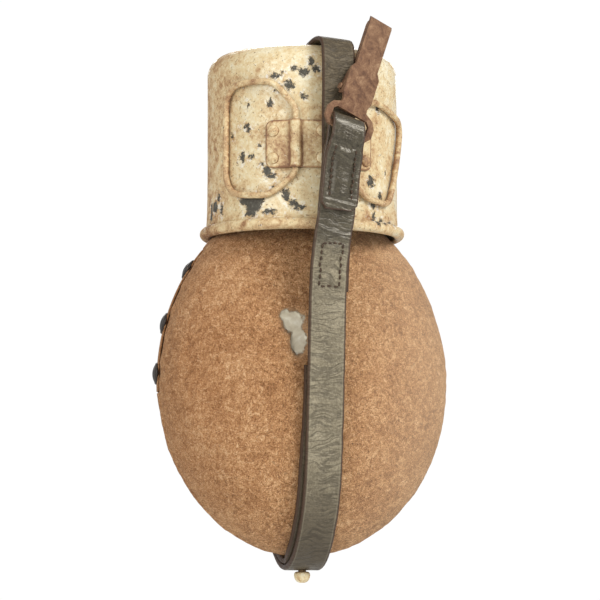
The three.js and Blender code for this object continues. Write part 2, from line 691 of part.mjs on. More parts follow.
// Built with its slot's bar along X through the origin, its length along Z and its opening towards +Y.
function hookBody() {
  const { sheet, bar: barHalf, slotTop, slotHalf, ringHalf, crown, depth, stripHalf, pointHalf, pointEnd } = HOOK;
  const right = [
    [ringHalf - 2.4, -barHalf],
    [ringHalf, 1.9],
    [ringHalf, 6.5],
    [ringHalf - 1.8, 9.6],
    [6.6, 11.6],
    [6.4, 13.6],
    [7.6, 16.6],
    [7.5, 29.2],
    [stripHalf, 32],
    [stripHalf, crown - 4],
  ];
  const left = right.map(([x, z]) => [-x, z]).reverse();
  const outline = new THREE.Shape([...right, ...left].map(([x, z]) => new THREE.Vector2(x, z)));
  const slot = [
    [-slotHalf, barHalf],
    [slotHalf, barHalf],
    [slotHalf, slotTop - 1.6],
    [slotHalf - 1.6, slotTop],
    [1.6 - slotHalf, slotTop],
    [-slotHalf, slotTop - 1.6],
  ];
  outline.holes.push(new THREE.Path(slot.map(([x, z]) => new THREE.Vector2(x, z))));
  const plate = new THREE.ExtrudeGeometry(outline, { depth: sheet, bevelEnabled: false })
    .rotateX(Math.PI / 2)
    .translate(0, sheet / 2, 0);

  const face = -sheet / 2;
  const back = face + depth;
  const bend = 2;
  const crook = new THREE.Shape([
    new THREE.Vector2(face, crown - 8),
    new THREE.Vector2(face + sheet, crown - 8),
    new THREE.Vector2(face + sheet, crown - bend),
    new THREE.Vector2(face + bend, crown - sheet),
    new THREE.Vector2(back - bend, crown - sheet),
    new THREE.Vector2(back - sheet, crown - bend),
    new THREE.Vector2(back - sheet, pointEnd),
    new THREE.Vector2(back, pointEnd),
    new THREE.Vector2(back, crown - bend),
    new THREE.Vector2(back - 0.6, crown - 0.6),
    new THREE.Vector2(back - bend, crown),
    new THREE.Vector2(face + bend, crown),
    new THREE.Vector2(face + 0.6, crown - 0.6),
    new THREE.Vector2(face, crown - bend),
  ]);
  const taper = new THREE.Shape([
    new THREE.Vector2(-stripHalf, face - 1),
    new THREE.Vector2(stripHalf, face - 1),
    new THREE.Vector2(stripHalf, face + sheet),
    new THREE.Vector2(pointHalf, back - sheet),
    new THREE.Vector2(pointHalf, back + 1),
    new THREE.Vector2(-pointHalf, back + 1),
    new THREE.Vector2(-pointHalf, back - sheet),
    new THREE.Vector2(-stripHalf, face + sheet),
  ]);
  const narrowing = new THREE.ExtrudeGeometry(taper, { depth: 2 * crown, bevelEnabled: false });
  const tapered = common(sideExtrusion(crook, 2 * stripHalf + 1), narrowing);

  const cheek = new THREE.Shape([
    new THREE.Vector2(0, 15.8),
    new THREE.Vector2(4.2, 17),
    new THREE.Vector2(4.6, 20.5),
    new THREE.Vector2(1.4, 28),
    new THREE.Vector2(0, 28.6),
  ]);
  const cheeks = [-1, 1].map((side) => sideExtrusion(cheek, 1).translate(side * 7, 0, 0));
  const pinHole = bar(point(-12, GATE.pinY, GATE.pinZ), point(12, GATE.pinY, GATE.pinZ), GATE.pin + GAP);
  return piece('hook_body', cut(join(plate, tapered, ...cheeks), pinHole), FINISH.rustySteel);
}

// The sprung leaf that closes the crook from inside.
function hookGate() {
  const { pinY, pinZ, pin, halfWidth, tip, thickness } = GATE;
  const hub = bar(point(-halfWidth, pinY, pinZ), point(halfWidth, pinY, pinZ), pin + GAP + 0.75, 12);
  const tipY = HOOK.depth - 1.5 * HOOK.sheet - GAP - thickness / 2;
  const leaf = new THREE.Shape([
    new THREE.Vector2(pinY + 0.5, pinZ),
    new THREE.Vector2(pinY + 0.5 + thickness, pinZ),
    new THREE.Vector2(tipY + thickness / 2, tip),
    new THREE.Vector2(tipY - thickness / 2, tip),
  ]);
  const bore = bar(point(-12, pinY, pinZ), point(12, pinY, pinZ), pin + GAP);
  return piece('hook_gate', cut(join(hub, sideExtrusion(leaf, 2 * halfWidth)), bore), FINISH.rustySteel);
}

function gatePin() {
  const { pinY, pinZ, pin } = GATE;
  const shank = bar(point(-8.2, pinY, pinZ), point(8.2, pinY, pinZ), pin);
  const heads = [-1, 1].map((side) =>
    bar(point(side * 7.8, pinY, pinZ), point(side * 8.7, pinY, pinZ), pin + 0.7),
  );
  return piece('gate_pin', join(shank, ...heads), FINISH.rustySteel);
}

// The torsion spring beside the gate's hub, which holds the gate against the hook's point.
function gateSpring() {
  const wire = 0.2;
  const turns = 1;
  class Coil extends THREE.Curve {
    getPoint(t, target = new THREE.Vector3()) {
      const angle = 2 * Math.PI * turns * t;
      const radius = GATE.pin + GAP + wire;
      const x = THREE.MathUtils.lerp(5.5, 6.1, t);
      return target.set(x, GATE.pinY + radius * Math.cos(angle), GATE.pinZ + radius * Math.sin(angle));
    }
  }
  const section = new THREE.Shape();
  section.absarc(0, 0, wire, 0, 2 * Math.PI);
  const options = { steps: 24, curveSegments: 2, bevelEnabled: false, extrudePath: new Coil() };
  return piece('gate_spring', new THREE.ExtrudeGeometry(section, options), FINISH.rustySteel);
}

// The loop leans to one side about its foot, and the hook leans and tips further about the slot's bar.
function hookAssembly() {
  const loop = new THREE.Group();
  loop.position.set(LOOP.shift, STRAP_BACK, LOOP.foot);
  loop.rotation.set(degrees(LOOP.standOff), degrees(LOOP.lean), 0, 'YXZ');
  const leather = hookLoop();
  leather.geometry.translate(0, -STRAP_BACK, -LOOP.foot);
  const hook = new THREE.Group();
  hook.position.set(0, -LOOP_FOLD, LOOP.bar - LOOP.foot);
  hook.rotation.set(degrees(-HOOK.tipBack - LOOP.standOff), degrees(HOOK.slant), degrees(HOOK.yaw), 'ZYX');
  hook.add(hookBody(), hookGate(), gatePin(), gateSpring());
  loop.add(leather, hook);
  return loop;
}

// ---------- buckle ----------
// Built with the pivot bar along X through the origin and the frame standing along Z.
function buckle() {
  const { y, z, wire, halfWidth, reach, tilt, prong } = BUCKLE;
  const corners = [
    point(-halfWidth, 0, 0),
    point(halfWidth, 0, 0),
    point(halfWidth, 0, reach),
    point(-halfWidth, 0, reach),
  ];
  const bars = corners.map((corner, i) => bar(corner, corners[(i + 1) % 4], wire, 8));
  const knuckles = corners.map((c) => new THREE.SphereGeometry(wire * 1.02, 8, 5).translate(c.x, c.y, c.z));
  const frame = piece('buckle_frame', join(...bars, ...knuckles), FINISH.rustySteel);

  const eye = bar(point(-1.8, 0, 0), point(1.8, 0, 0), wire + GAP + 1.2, 12);
  const rise = wire + GAP + prong;
  const tongue = bar(point(0, 0.8, 1.5), point(0, rise + 0.3, reach + 2.2), prong, 8);
  const bore = bar(point(-4, 0, 0), point(4, 0, 0), wire + GAP, 12);
  const tongueAndEye = piece('buckle_prong', cut(join(eye, tongue), bore), FINISH.rustySteel);

  const group = new THREE.Group();
  group.position.set(0, y, z);
  group.rotation.x = degrees(-tilt);
  group.add(frame, tongueAndEye);
  return group;
}

// ---------- assembly ----------
const cup = new THREE.Group();
cup.rotation.z = degrees(CUP.turn);
cup.add(
  cupBody(),
  handleBracket(),
  ...bracketRivets(),
  cupHandle('handle_left', LEFT_HANDLE),
  cupHandle('handle_right', RIGHT_HANDLE),
);

const canteen = new THREE.Group();
canteen.position.z = STUD_DROP;
canteen.add(
  flask(),
  capGasket(),
  screwCap(),
  capBridge(),
  ...feltPanels(),
  coverFlap(),
  ...snaps(),
  ...bottomStud(),
  basePatch(),
  carryingStrap(),
  closingStrap(),
  strapKeeper(),
  cup,
  hookAssembly(),
  buckle(),
);

export default canteen;
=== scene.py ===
"""Visual model of a field canteen: felt, chipped paint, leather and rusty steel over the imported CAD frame.

Shapes are worked out in millimetres above the bottom of the felt, and turned into metres when a mesh is made.
"""

import json
import math
import random

import bmesh
import bpy
import numpy as np
from mathutils import Matrix, Vector, noise

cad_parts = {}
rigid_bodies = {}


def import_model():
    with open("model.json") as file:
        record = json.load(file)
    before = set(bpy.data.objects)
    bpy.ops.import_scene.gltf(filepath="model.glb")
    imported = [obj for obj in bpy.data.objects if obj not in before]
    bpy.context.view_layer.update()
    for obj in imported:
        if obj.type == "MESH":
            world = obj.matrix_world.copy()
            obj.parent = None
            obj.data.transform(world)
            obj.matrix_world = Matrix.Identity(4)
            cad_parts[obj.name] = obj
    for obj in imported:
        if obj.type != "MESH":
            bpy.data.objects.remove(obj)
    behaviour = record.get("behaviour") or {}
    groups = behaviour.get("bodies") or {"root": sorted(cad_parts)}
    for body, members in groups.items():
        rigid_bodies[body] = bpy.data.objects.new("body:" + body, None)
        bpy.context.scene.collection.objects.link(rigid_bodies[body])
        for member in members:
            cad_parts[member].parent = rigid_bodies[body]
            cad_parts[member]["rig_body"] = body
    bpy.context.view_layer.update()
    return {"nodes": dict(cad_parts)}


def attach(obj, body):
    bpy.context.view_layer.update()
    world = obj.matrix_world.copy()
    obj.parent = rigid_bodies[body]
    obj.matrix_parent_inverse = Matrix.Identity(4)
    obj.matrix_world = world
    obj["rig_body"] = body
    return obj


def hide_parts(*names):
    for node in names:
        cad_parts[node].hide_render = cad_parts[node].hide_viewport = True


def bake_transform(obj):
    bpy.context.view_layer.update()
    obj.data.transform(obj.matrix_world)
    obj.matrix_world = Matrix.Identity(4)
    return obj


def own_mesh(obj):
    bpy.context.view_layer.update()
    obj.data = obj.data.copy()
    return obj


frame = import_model()

MM = 0.001
STUD_DROP = 11.5  # the frame's origin is this far below the bottom of the felt

# ---------- driving dimensions, as in the frame ----------
HALF_WIDTH, HALF_BACK, HALF_FRONT = 68.0, 38.0, 41.0
MIDDLE, LOWER, UPPER, UPPER_DEEP = 78.0, 78.0, 84.0, 92.0
FELT_TOP, FELT = 157.0, 3.2
NECK_HOLE, STUD_HOLE = 17.0, 2.3

CUP_RIM, CUP_TOP, CUP_RADIUS, CUP_WALL, CUP_CORNER, CUP_BEAD = 143.7, 227.2, 43.2, 1.0, 9.0, 2.6
CUP_CROWN = 0.6  # the middle of the cup's top is swollen by this
CUP_TURN = -4.2  # degrees
WIRE = 1.5
HANDLE_RADIUS = 45.0
PIVOT_ANGLE = 15.0
BRACKET_LOW, BRACKET_HIGH, BRACKET_HALF = 171.0, 192.5, 33.0
RIVET_ANGLES, RIVET_HEIGHTS = (-28.2, 0.0, 28.2), (175.4, 187.6)

LEATHER = 2.6
LAYER = LEATHER + 0.3
STRAP_WIDTH, LOOP_WIDTH, CLOSING_WIDTH = 17.0, 17.2, 15.2
HUG = 0.4 + LEATHER / 2
CLOSING_BACK, CLOSING_FRONT = -49.4, 48.9
CLOSING_LEATHER = 2.2
CLOSING_CROWN = CUP_TOP + CUP_CROWN + CLOSING_LEATHER / 2
STRAP_BACK = CLOSING_BACK - LAYER
LOOP_FOOT, LOOP_BAR, LOOP_END = 149.2, 187.1, 151.0
LOOP_LEAN, LOOP_STAND_OFF, LOOP_SHIFT, LOOP_NARROWING = 4.2, 3.8, 1.0, 0.13
HOOK_OFFSET = (-3.5, 0.0, -1.0)  # the visual hook hangs this far from the frame's, with its loop
LOOP_FOLD = 1.2 + 1.8 + LEATHER / 2
HOOK_SLANT = 18.0
BUCKLE_Y, BUCKLE_Z, BUCKLE_WIRE = 47.4, 118.0, 1.3

SNAP_HEIGHTS, SNAP_Y, SNAP_RADIUS = (130.0, 105.0, 82.0), 5.0, 5.0
FLAP_LOW, FLAP_HIGH, FLAP_EDGE, FLAP_THICKNESS = 74.0, 138.0, 16.0, 1.6

rad = math.radians


# ---------- numbers and noise ----------
def smooth(low, high, value):
    t = np.clip((np.asarray(value, float) - low) / (high - low), 0.0, 1.0)
    return t * t * (3 - 2 * t)


def lump(points, size, octaves=2, seed=0.0):
    """Smooth noise between about -1 and 1 at each point; size is the width of a lump in mm."""
    shift = Vector((seed, seed * 1.7, seed * 0.6))
    return np.array([noise.fractal(Vector(p) / size + shift, 1.0, 2.0, octaves) for p in points])


def arch(height, semi):
    return np.sqrt(np.clip(1 - (np.asarray(height, float) / semi) ** 2, 0, None))


def half_width(z, inset=0.0):
    semi = np.where(z < MIDDLE, LOWER, UPPER) - inset
    return (HALF_WIDTH - inset) * arch(z - MIDDLE, semi)


def half_depth(z, front, inset=0.0):
    semi = np.where(z < MIDDLE, LOWER, UPPER_DEEP) - inset
    return ((HALF_FRONT if front else HALF_BACK) - inset) * arch(z - MIDDLE, semi)


def spline(points, per_segment):
    """Points along a centripetal Catmull-Rom curve through the given points."""
    p = np.array(points, float)
    p = np.vstack([2 * p[0] - p[1], p, 2 * p[-1] - p[-2]])
    out = []
    for i in range(1, len(p) - 2):
        a, b, c, d = p[i - 1 : i + 3]
        t = np.cumsum([0.0] + [max(1e-6, np.linalg.norm(q - r)) ** 0.5 for q, r in ((b, a), (c, b), (d, c))])
        s = np.linspace(t[1], t[2], per_segment, endpoint=False)[:, None]
        ab = (t[1] - s) / (t[1] - t[0]) * a + (s - t[0]) / (t[1] - t[0]) * b
        bc = (t[2] - s) / (t[2] - t[1]) * b + (s - t[1]) / (t[2] - t[1]) * c
        cd = (t[3] - s) / (t[3] - t[2]) * c + (s - t[2]) / (t[3] - t[2]) * d
        abc = (t[2] - s) / (t[2] - t[0]) * ab + (s - t[0]) / (t[2] - t[0]) * bc
        bcd = (t[3] - s) / (t[3] - t[1]) * bc + (s - t[1]) / (t[3] - t[1]) * cd
        out.append((t[2] - s) / (t[2] - t[1]) * abc + (s - t[1]) / (t[2] - t[1]) * bcd)
    out.append(p[-2:-1])
    return np.vstack(out)


def resample(points, step):
    """The same polyline, with points about a step apart."""
    lengths = np.concatenate([[0], np.cumsum(np.linalg.norm(np.diff(points, axis=0), axis=1))])
    count = max(2, int(round(lengths[-1] / step)) + 1)
    at = np.linspace(0, lengths[-1], count)
    return np.stack([np.interp(at, lengths, points[:, k]) for k in range(points.shape[1])], axis=1), at


def directions(points):
    d = np.gradient(points, axis=0)
    return d / np.maximum(np.linalg.norm(d, axis=1, keepdims=True), 1e-9)


# ---------- meshes ----------
def to_frame(points):
    p = np.array(points, float)
    p[:, 2] += STUD_DROP
    return p * MM


def linked(name, data):
    """A new object in the scene."""
    made = bpy.data.objects.new(name, data)
    bpy.context.scene.collection.objects.link(made)
    return made


def add_piece(name, points, faces, body, replaces, material, uv=None, values=None, bends=None):
    """Makes a mesh piece from points in mm. uv and values hold numbers for each vertex.

    bends is (body, start, end) in mm; when it is given, the piece's placement is baked in and it is attached
    to no body, and the body and the two points are not used."""
    mesh = bpy.data.meshes.new(name)
    mesh.from_pydata(to_frame(points).tolist(), [], [tuple(int(i) for i in f) for f in faces])
    mesh.validate()
    mesh.polygons.foreach_set("use_smooth", [True] * len(mesh.polygons))
    if uv is not None:
        layer = mesh.uv_layers.new(name="surface")
        corners = np.zeros(len(mesh.loops), np.int32)
        mesh.loops.foreach_get("vertex_index", corners)
        layer.data.foreach_set("uv", np.asarray(uv, np.float32)[corners].ravel())
    for key, numbers in (values or {}).items():
        attribute = mesh.attributes.new(key, "FLOAT", "POINT")
        attribute.data.foreach_set("value", np.asarray(numbers, np.float32))
    piece = linked(name, mesh)
    face_outwards(mesh)
    mesh.materials.append(material)
    if bends:
        other, start, end = bends
        tuple(to_frame([start])[0])
        tuple(to_frame([end])[0])
        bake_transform(piece)
    else:
        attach(piece, body)
    if replaces:
        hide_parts(*replaces)
    return piece


def face_outwards(mesh):
    bm = bmesh.new()
    bm.from_mesh(mesh)
    bmesh.ops.recalc_face_normals(bm, faces=bm.faces)
    bm.to_mesh(mesh)
    bm.free()


def placed(points, matrix):
    m = np.array(matrix)
    return points @ m[:3, :3].T + m[:3, 3]


def grid_faces(rows, columns, wrap_rows=False, wrap_columns=False, first=0):
    faces = []
    for i in range(rows if wrap_rows else rows - 1):
        for j in range(columns if wrap_columns else columns - 1):
            a, b = first + i * columns, first + ((i + 1) % rows) * columns
            k = (j + 1) % columns
            faces.append((a + j, b + j, b + k, a + k))
    return faces


def shell_faces(rows, columns):
    """Faces of a sheet with thickness: two grids of the same size, joined round their edges."""
    count = rows * columns
    edges = [(i * columns + j, (i + 1) * columns + j) for i in range(rows - 1) for j in (0, columns - 1)]
    edges += [(i * columns + j, i * columns + j + 1) for j in range(columns - 1) for i in (0, rows - 1)]
    sheets = grid_faces(rows, columns) + grid_faces(rows, columns, first=count)
    return sheets + [(a, b, b + count, a + count) for a, b in edges]


def lathe(profile, segments, start=0.0):
    """Points and faces of a closed turned shape about Z, from (radius, height); no radius closes an end."""
    points, rings = [], []
    angles = np.linspace(0, 2 * math.pi, segments, endpoint=False) + start
    for r, z in profile:
        first = len(points)
        if r < 1e-6:
            points.append((0.0, 0.0, z))
            rings.append([first] * segments)
        else:
            points += [(r * math.cos(a), r * math.sin(a), z) for a in angles]
            rings.append(list(range(first, first + segments)))
    faces = []
    closed = profile[0][0] > 1e-6 and profile[-1][0] > 1e-6
    pairs = list(zip(rings, rings[1:])) + ([(rings[-1], rings[0])] if closed else [])
    for low, high in pairs:
        for j in range(segments):
            k = (j + 1) % segments
            corners = [low[j], low[k], high[k], high[j]]
            face = [c for i, c in enumerate(corners) if c not in corners[:i]]
            if len(face) > 2:
                faces.append(face)
    return np.array(points), faces


def tube(path, radius, sides=12, closed=False):
    """Points and faces of a round wire along a path; radius may change along it."""
    path = np.asarray(path, float)
    count = len(path)
    radii = np.broadcast_to(np.asarray(radius, float), (count,))
    if closed:
        along = np.roll(path, -1, axis=0) - np.roll(path, 1, axis=0)
        along /= np.linalg.norm(along, axis=1, keepdims=True)
    else:
        along = directions(path)
    side = np.cross(along[0], (0.0, 0.0, 1.0))
    if np.linalg.norm(side) < 0.1:
        side = np.cross(along[0], (1.0, 0.0, 0.0))
    points = []
    angles = np.linspace(0, 2 * math.pi, sides, endpoint=False)
    for i in range(count):
        side = side - along[i] * np.dot(side, along[i])
        side /= np.linalg.norm(side)
        up = np.cross(side, along[i])
        ring = path[i] + radii[i] * (np.outer(np.cos(angles), side) + np.outer(np.sin(angles), up))
        points.append(ring)
    points = np.vstack(points)
    faces = grid_faces(count, sides, wrap_rows=closed, wrap_columns=True)
    if not closed:
        faces += [list(range(sides))[::-1], list(range((count - 1) * sides, count * sides))]
    return points, faces


def joined(parts):
    """One list of points and faces from several."""
    points, faces, first = [], [], 0
    for p, f in parts:
        points.append(p)
        faces += [[i + first for i in face] for face in f]
        first += len(p)
    return np.vstack(points), faces


def refined(name, node, bevel, material, offset=(0.0, 0.0, 0.0)):
    """A copy of a CAD node with its hard edges rounded, standing for the node."""
    source = frame["nodes"][node]
    mesh = bpy.data.meshes.new(name)
    bm = bmesh.new()
    bm.from_mesh(source.data)
    bmesh.ops.remove_doubles(bm, verts=bm.verts, dist=2e-6)
    bmesh.ops.dissolve_limit(bm, angle_limit=rad(3), verts=bm.verts, edges=bm.edges)
    sharp = [e for e in bm.edges if len(e.link_faces) == 2 and e.calc_face_angle() > rad(32)]
    rounding = {"segments": 2, "profile": 0.6, "affect": "EDGES", "clamp_overlap": True}
    bmesh.ops.bevel(bm, geom=sharp, offset=bevel * MM, **rounding)
    bmesh.ops.triangulate(bm, faces=[f for f in bm.faces if len(f.verts) > 4])
    bmesh.ops.translate(bm, verts=bm.verts, vec=Vector(offset) * MM)
    bm.to_mesh(mesh)
    bm.free()
    mesh.polygons.foreach_set("use_smooth", [True] * len(mesh.polygons))
    piece = linked(name, mesh)
    mesh.materials.append(material)
    mesh.set_sharp_from_angle(angle=rad(35))
    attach(piece, source["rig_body"])
    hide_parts(node)
    return piece

# ---------- node trees ----------
class Value:
    """An output in a material's node tree. Sums and products of it make more nodes."""

    def __init__(self, nodes, socket):
        self.nodes, self.socket = nodes, socket

    def __add__(self, other):
        return self.nodes.math("ADD", self, other)

    def __sub__(self, other):
        return self.nodes.math("SUBTRACT", self, other)

    def __rsub__(self, other):
        return self.nodes.math("SUBTRACT", other, self)

    def __mul__(self, other):
        return self.nodes.math("MULTIPLY", self, other)


class Nodes:
    """Short calls for building a material's node tree."""

    def __init__(self, name):
        self.material = bpy.data.materials.new(name)
        self.material.use_nodes = True
        self.tree = self.material.node_tree
        self.tree.nodes.clear()
        self.shader = self.tree.nodes.new("ShaderNodeBsdfPrincipled")
        output = self.tree.nodes.new("ShaderNodeOutputMaterial")
        self.tree.links.new(self.shader.outputs[0], output.inputs[0])
        self.position = self.node("ShaderNodeTexCoord", {}, "Object") * ((1 / MM,) * 3)  # in mm, in the frame

    def node(self, kind, inputs, output=0, **settings):
        """Adds a node, feeds its inputs by name or number, and gives one of its outputs."""
        made = self.tree.nodes.new(kind)
        for key, value in settings.items():
            setattr(made, key, value)
        for key, value in inputs.items():
            self.feed(made.inputs[key], value)
        return Value(self, made.outputs[output])

    def feed(self, socket, value):
        if isinstance(value, Value):
            self.tree.links.new(value.socket, socket)
        elif socket.type == "RGBA":
            socket.default_value = (*value[:3], 1.0)
        else:
            socket.default_value = value

    def math(self, operation, a, *others):
        """One step of arithmetic on numbers, or on vectors when a value among them is one."""
        first = a if isinstance(a, Value) else others[0]
        kind = "ShaderNodeVectorMath" if first.socket.type in ("VECTOR", "RGBA") else "ShaderNodeMath"
        return self.node(kind, dict(enumerate((a, *others))), operation=operation)

    def length(self, vector):
        return self.node("ShaderNodeVectorMath", {0: vector}, "Value", operation="LENGTH")

    def split(self, vector):
        x = self.node("ShaderNodeSeparateXYZ", {0: vector})
        return [Value(self, socket) for socket in x.socket.node.outputs]

    def attribute(self, name):
        return self.node("ShaderNodeAttribute", {}, "Fac", attribute_name=name)

    def uv(self):
        return self.node("ShaderNodeUVMap", {}, uv_map="surface")

    def noise(self, where, size, detail=3.0, roughness=0.55, distortion=0.0, stretch=(1, 1, 1), output="Fac"):
        """Noise between 0 and 1 with features about size mm wide."""
        inputs = {"Vector": where * tuple(s / size for s in stretch), "Scale": 1.0}
        inputs |= {"Detail": detail, "Roughness": roughness, "Distortion": distortion}
        return self.node("ShaderNodeTexNoise", inputs, output, noise_dimensions="3D")

    def wobble(self, where, size, detail, roughness, distortion=0.0):
        """A vector of noise, between -0.5 and 0.5 each way."""
        return self.noise(where, size, detail, roughness, distortion, output="Color") - (0.5, 0.5, 0.5)

    def step(self, value, low, high):
        """0 below low and 1 above high, turning smoothly between; low may be the larger."""
        inputs = {"Value": value, "From Min": low, "From Max": high}
        return self.node("ShaderNodeMapRange", inputs, "Result", interpolation_type="SMOOTHSTEP")

    def mix(self, share, a, b):
        return self.node("ShaderNodeMix", {0: share, 6: a, 7: b}, 2, data_type="RGBA")

    def blend(self, share, a, b):
        return self.node("ShaderNodeMix", {0: share, 2: a, 3: b}, data_type="FLOAT")

    def ramp(self, value, *stops):
        found = self.node("ShaderNodeValToRGB", {0: value})
        elements = found.socket.node.color_ramp.elements
        while len(elements) < len(stops):
            elements.new(0.5)
        for element, (place, colour) in zip(elements, stops):
            element.position = place
            element.color = (*colour, 1.0)
        return found

    def bump(self, height, depth, strength):
        """A bump whose height of 1 stands depth mm proud."""
        return self.node("ShaderNodeBump", {"Height": height, "Distance": depth * MM, "Strength": strength})

    def finish(self, **inputs):
        for key, value in inputs.items():
            self.feed(self.shader.inputs[key.replace("_", " ")], value)
        return self.material


# ---------- materials ----------
# Colours are linear red, green and blue. Tones are (place on a ramp, colour).
FELT_TONES = ((0.46, (0.14, 0.050, 0.016)), (0.52, (0.37, 0.168, 0.064)), (0.56, (0.52, 0.255, 0.103)))
FELT_TONES += ((0.60, (0.68, 0.395, 0.188)), (0.66, (0.90, 0.63, 0.38)))
DARK_FLECK, PALE_HAIR = (0.10, 0.042, 0.018), (0.84, 0.66, 0.46)
PAINTED_LIGHT_FELT, SHADED_FELT, THIN_FELT = (0.66, 0.46, 0.30), (0.28, 0.092, 0.022), (0.56, 0.36, 0.20)
BARE_FLASK_TONES = ((0.34, (0.58, 0.51, 0.37)), (0.52, (0.70, 0.64, 0.49)), (0.70, (0.84, 0.80, 0.67)))

PAINT_TONES = ((0.22, (0.78, 0.70, 0.50)), (0.48, (0.69, 0.55, 0.31)), (0.64, (0.58, 0.41, 0.215)))
PAINT_TONES += ((0.82, (0.42, 0.25, 0.12)), (1.00, (0.24, 0.12, 0.06)))
RUST_SPOT, PALE_SPOT = (0.20, 0.105, 0.05), (0.80, 0.75, 0.58)
CHIP, CHIP_BRIM, PRIMER = (0.082, 0.074, 0.055), (0.42, 0.24, 0.11), (0.86, 0.84, 0.74)
CHIP_TONES = ((0.3, (0.05, 0.042, 0.030)), (0.55, CHIP), (0.75, (0.18, 0.17, 0.135)))
CUP_INSIDE_TONES = ((0.3, (0.24, 0.20, 0.15)), (0.7, (0.42, 0.37, 0.29)))

STRAP_TONES = (0.115, 0.096, 0.062), (0.215, 0.182, 0.120), (0.335, 0.292, 0.202)
CLOSING_TONES = (0.046, 0.033, 0.018), (0.084, 0.063, 0.036), (0.145, 0.112, 0.068)
POLISHED_TONES = ((0.38, (0.017, 0.013, 0.008)), (0.5, (0.047, 0.039, 0.024)), (0.63, (0.110, 0.094, 0.062)))
PAINTED_SHADE_LEATHER, CRACK, CUT_EDGE = (0.050, 0.036, 0.022), (0.020, 0.014, 0.009), (0.050, 0.022, 0.012)
THREAD_TONES = ((0.35, (0.018, 0.010, 0.006)), (0.6, (0.085, 0.048, 0.025)), (0.8, (0.22, 0.15, 0.085)))

RUST_TONES = ((0.40, (0.094, 0.042, 0.023)), (0.48, (0.172, 0.085, 0.044)))
RUST_TONES += ((0.55, (0.240, 0.132, 0.071)), (0.66, (0.385, 0.25, 0.145)))
RUST_EDGE_HIGHLIGHT = (0.46, 0.30, 0.18)
LACQUER, WORN_LACQUER = (0.026, 0.018, 0.013), (0.22, 0.13, 0.07)
METAL_TONES = ((0.35, (0.30, 0.28, 0.24)), (0.55, (0.50, 0.48, 0.43)), (0.7, (0.62, 0.60, 0.55)))
RUBBER_TONES = ((0.3, (0.10, 0.022, 0.014)), (0.7, (0.24, 0.07, 0.045)))

# The hole worn in the felt, as ellipses on the back: x, height, half-width, half-height in mm.
WORN_LOBES = ((-13.4, 103.0, 4.8, 5.4), (-11.2, 95.0, 3.9, 6.8), (-16.6, 106.0, 2.8, 2.6))


def felt_material():
    n = Nodes("felt")
    at = n.position
    matting = n.noise(at, 3.4, 5.0, 0.75, 1.2)
    fibres = n.noise(at, 1.7, 4.0, 0.75, 2.4, stretch=(1.0, 1.0, 1.7))
    across = n.noise(at, 1.5, 4.0, 0.75, 2.2, stretch=(1.9, 1.9, 0.8))
    patches = n.noise(at, 24.0, 4.0, 0.6, 0.4)
    flecks = n.noise(at, 1.1, 3.0, 0.7, 1.2)
    hairs = n.noise(at, 1.3, 3.0, 0.7, 3.0, stretch=(1.0, 1.0, 2.6))
    colour = n.ramp(matting * 0.32 + fibres * 0.42 + across * 0.36 + (patches - 0.5) * 0.10, *FELT_TONES)
    colour = n.mix(n.step(flecks, 0.58, 0.68) * 0.75, colour, DARK_FLECK)
    colour = n.mix(n.step(hairs, 0.62, 0.72) * 0.55, colour, PALE_HAIR)
    x, y, _ = n.split(at)
    # Painted light and shade: the felt is lightened towards +x and darkened towards -x.
    colour = n.mix(n.step(x, 0.0, 62.0) * 0.30, colour, PAINTED_LIGHT_FELT)
    colour = n.mix(n.step(x, -10.0, -62.0) * 0.30, colour, SHADED_FELT)

    shaken = at + n.wobble(at, 3.2, 5.0, 0.75) * (6.0, 0.0, 6.0)
    hole = None
    for cx, cz, rx, rz in WORN_LOBES:
        reach = n.length((shaken - (cx, 0.0, cz + STUD_DROP)) * (1 / rx, 0.0, 1 / rz))
        hole = n.math("MINIMUM", hole, reach) if hole else reach
    behind = n.math("LESS_THAN", y, 0.0)
    bare = n.step(hole, 1.08, 0.86) * behind
    colour = n.mix(n.step(hole, 1.5, 1.0) * behind * 0.35, colour, THIN_FELT)
    smudge = n.noise(at, 5.0, 5.0, 0.65, 0.5)
    colour = n.mix(bare, colour, n.ramp(smudge, *BARE_FLASK_TONES))
    return n.finish(
        Base_Color=colour,
        Roughness=n.blend(bare, 0.95, n.blend(n.step(smudge, 0.4, 0.7), 0.5, 0.3)),
        Sheen_Weight=(1.0 - bare) * 0.25,
        Sheen_Roughness=0.6,
        Sheen_Tint=(0.9, 0.72, 0.5),
        Specular_IOR_Level=0.2,
        Normal=n.bump((matting * 0.7 + fibres * 0.9 + across * 0.8) * (1.0 - bare), 0.8, 0.9),
    )


CHIP_TURN = 2.0  # degrees

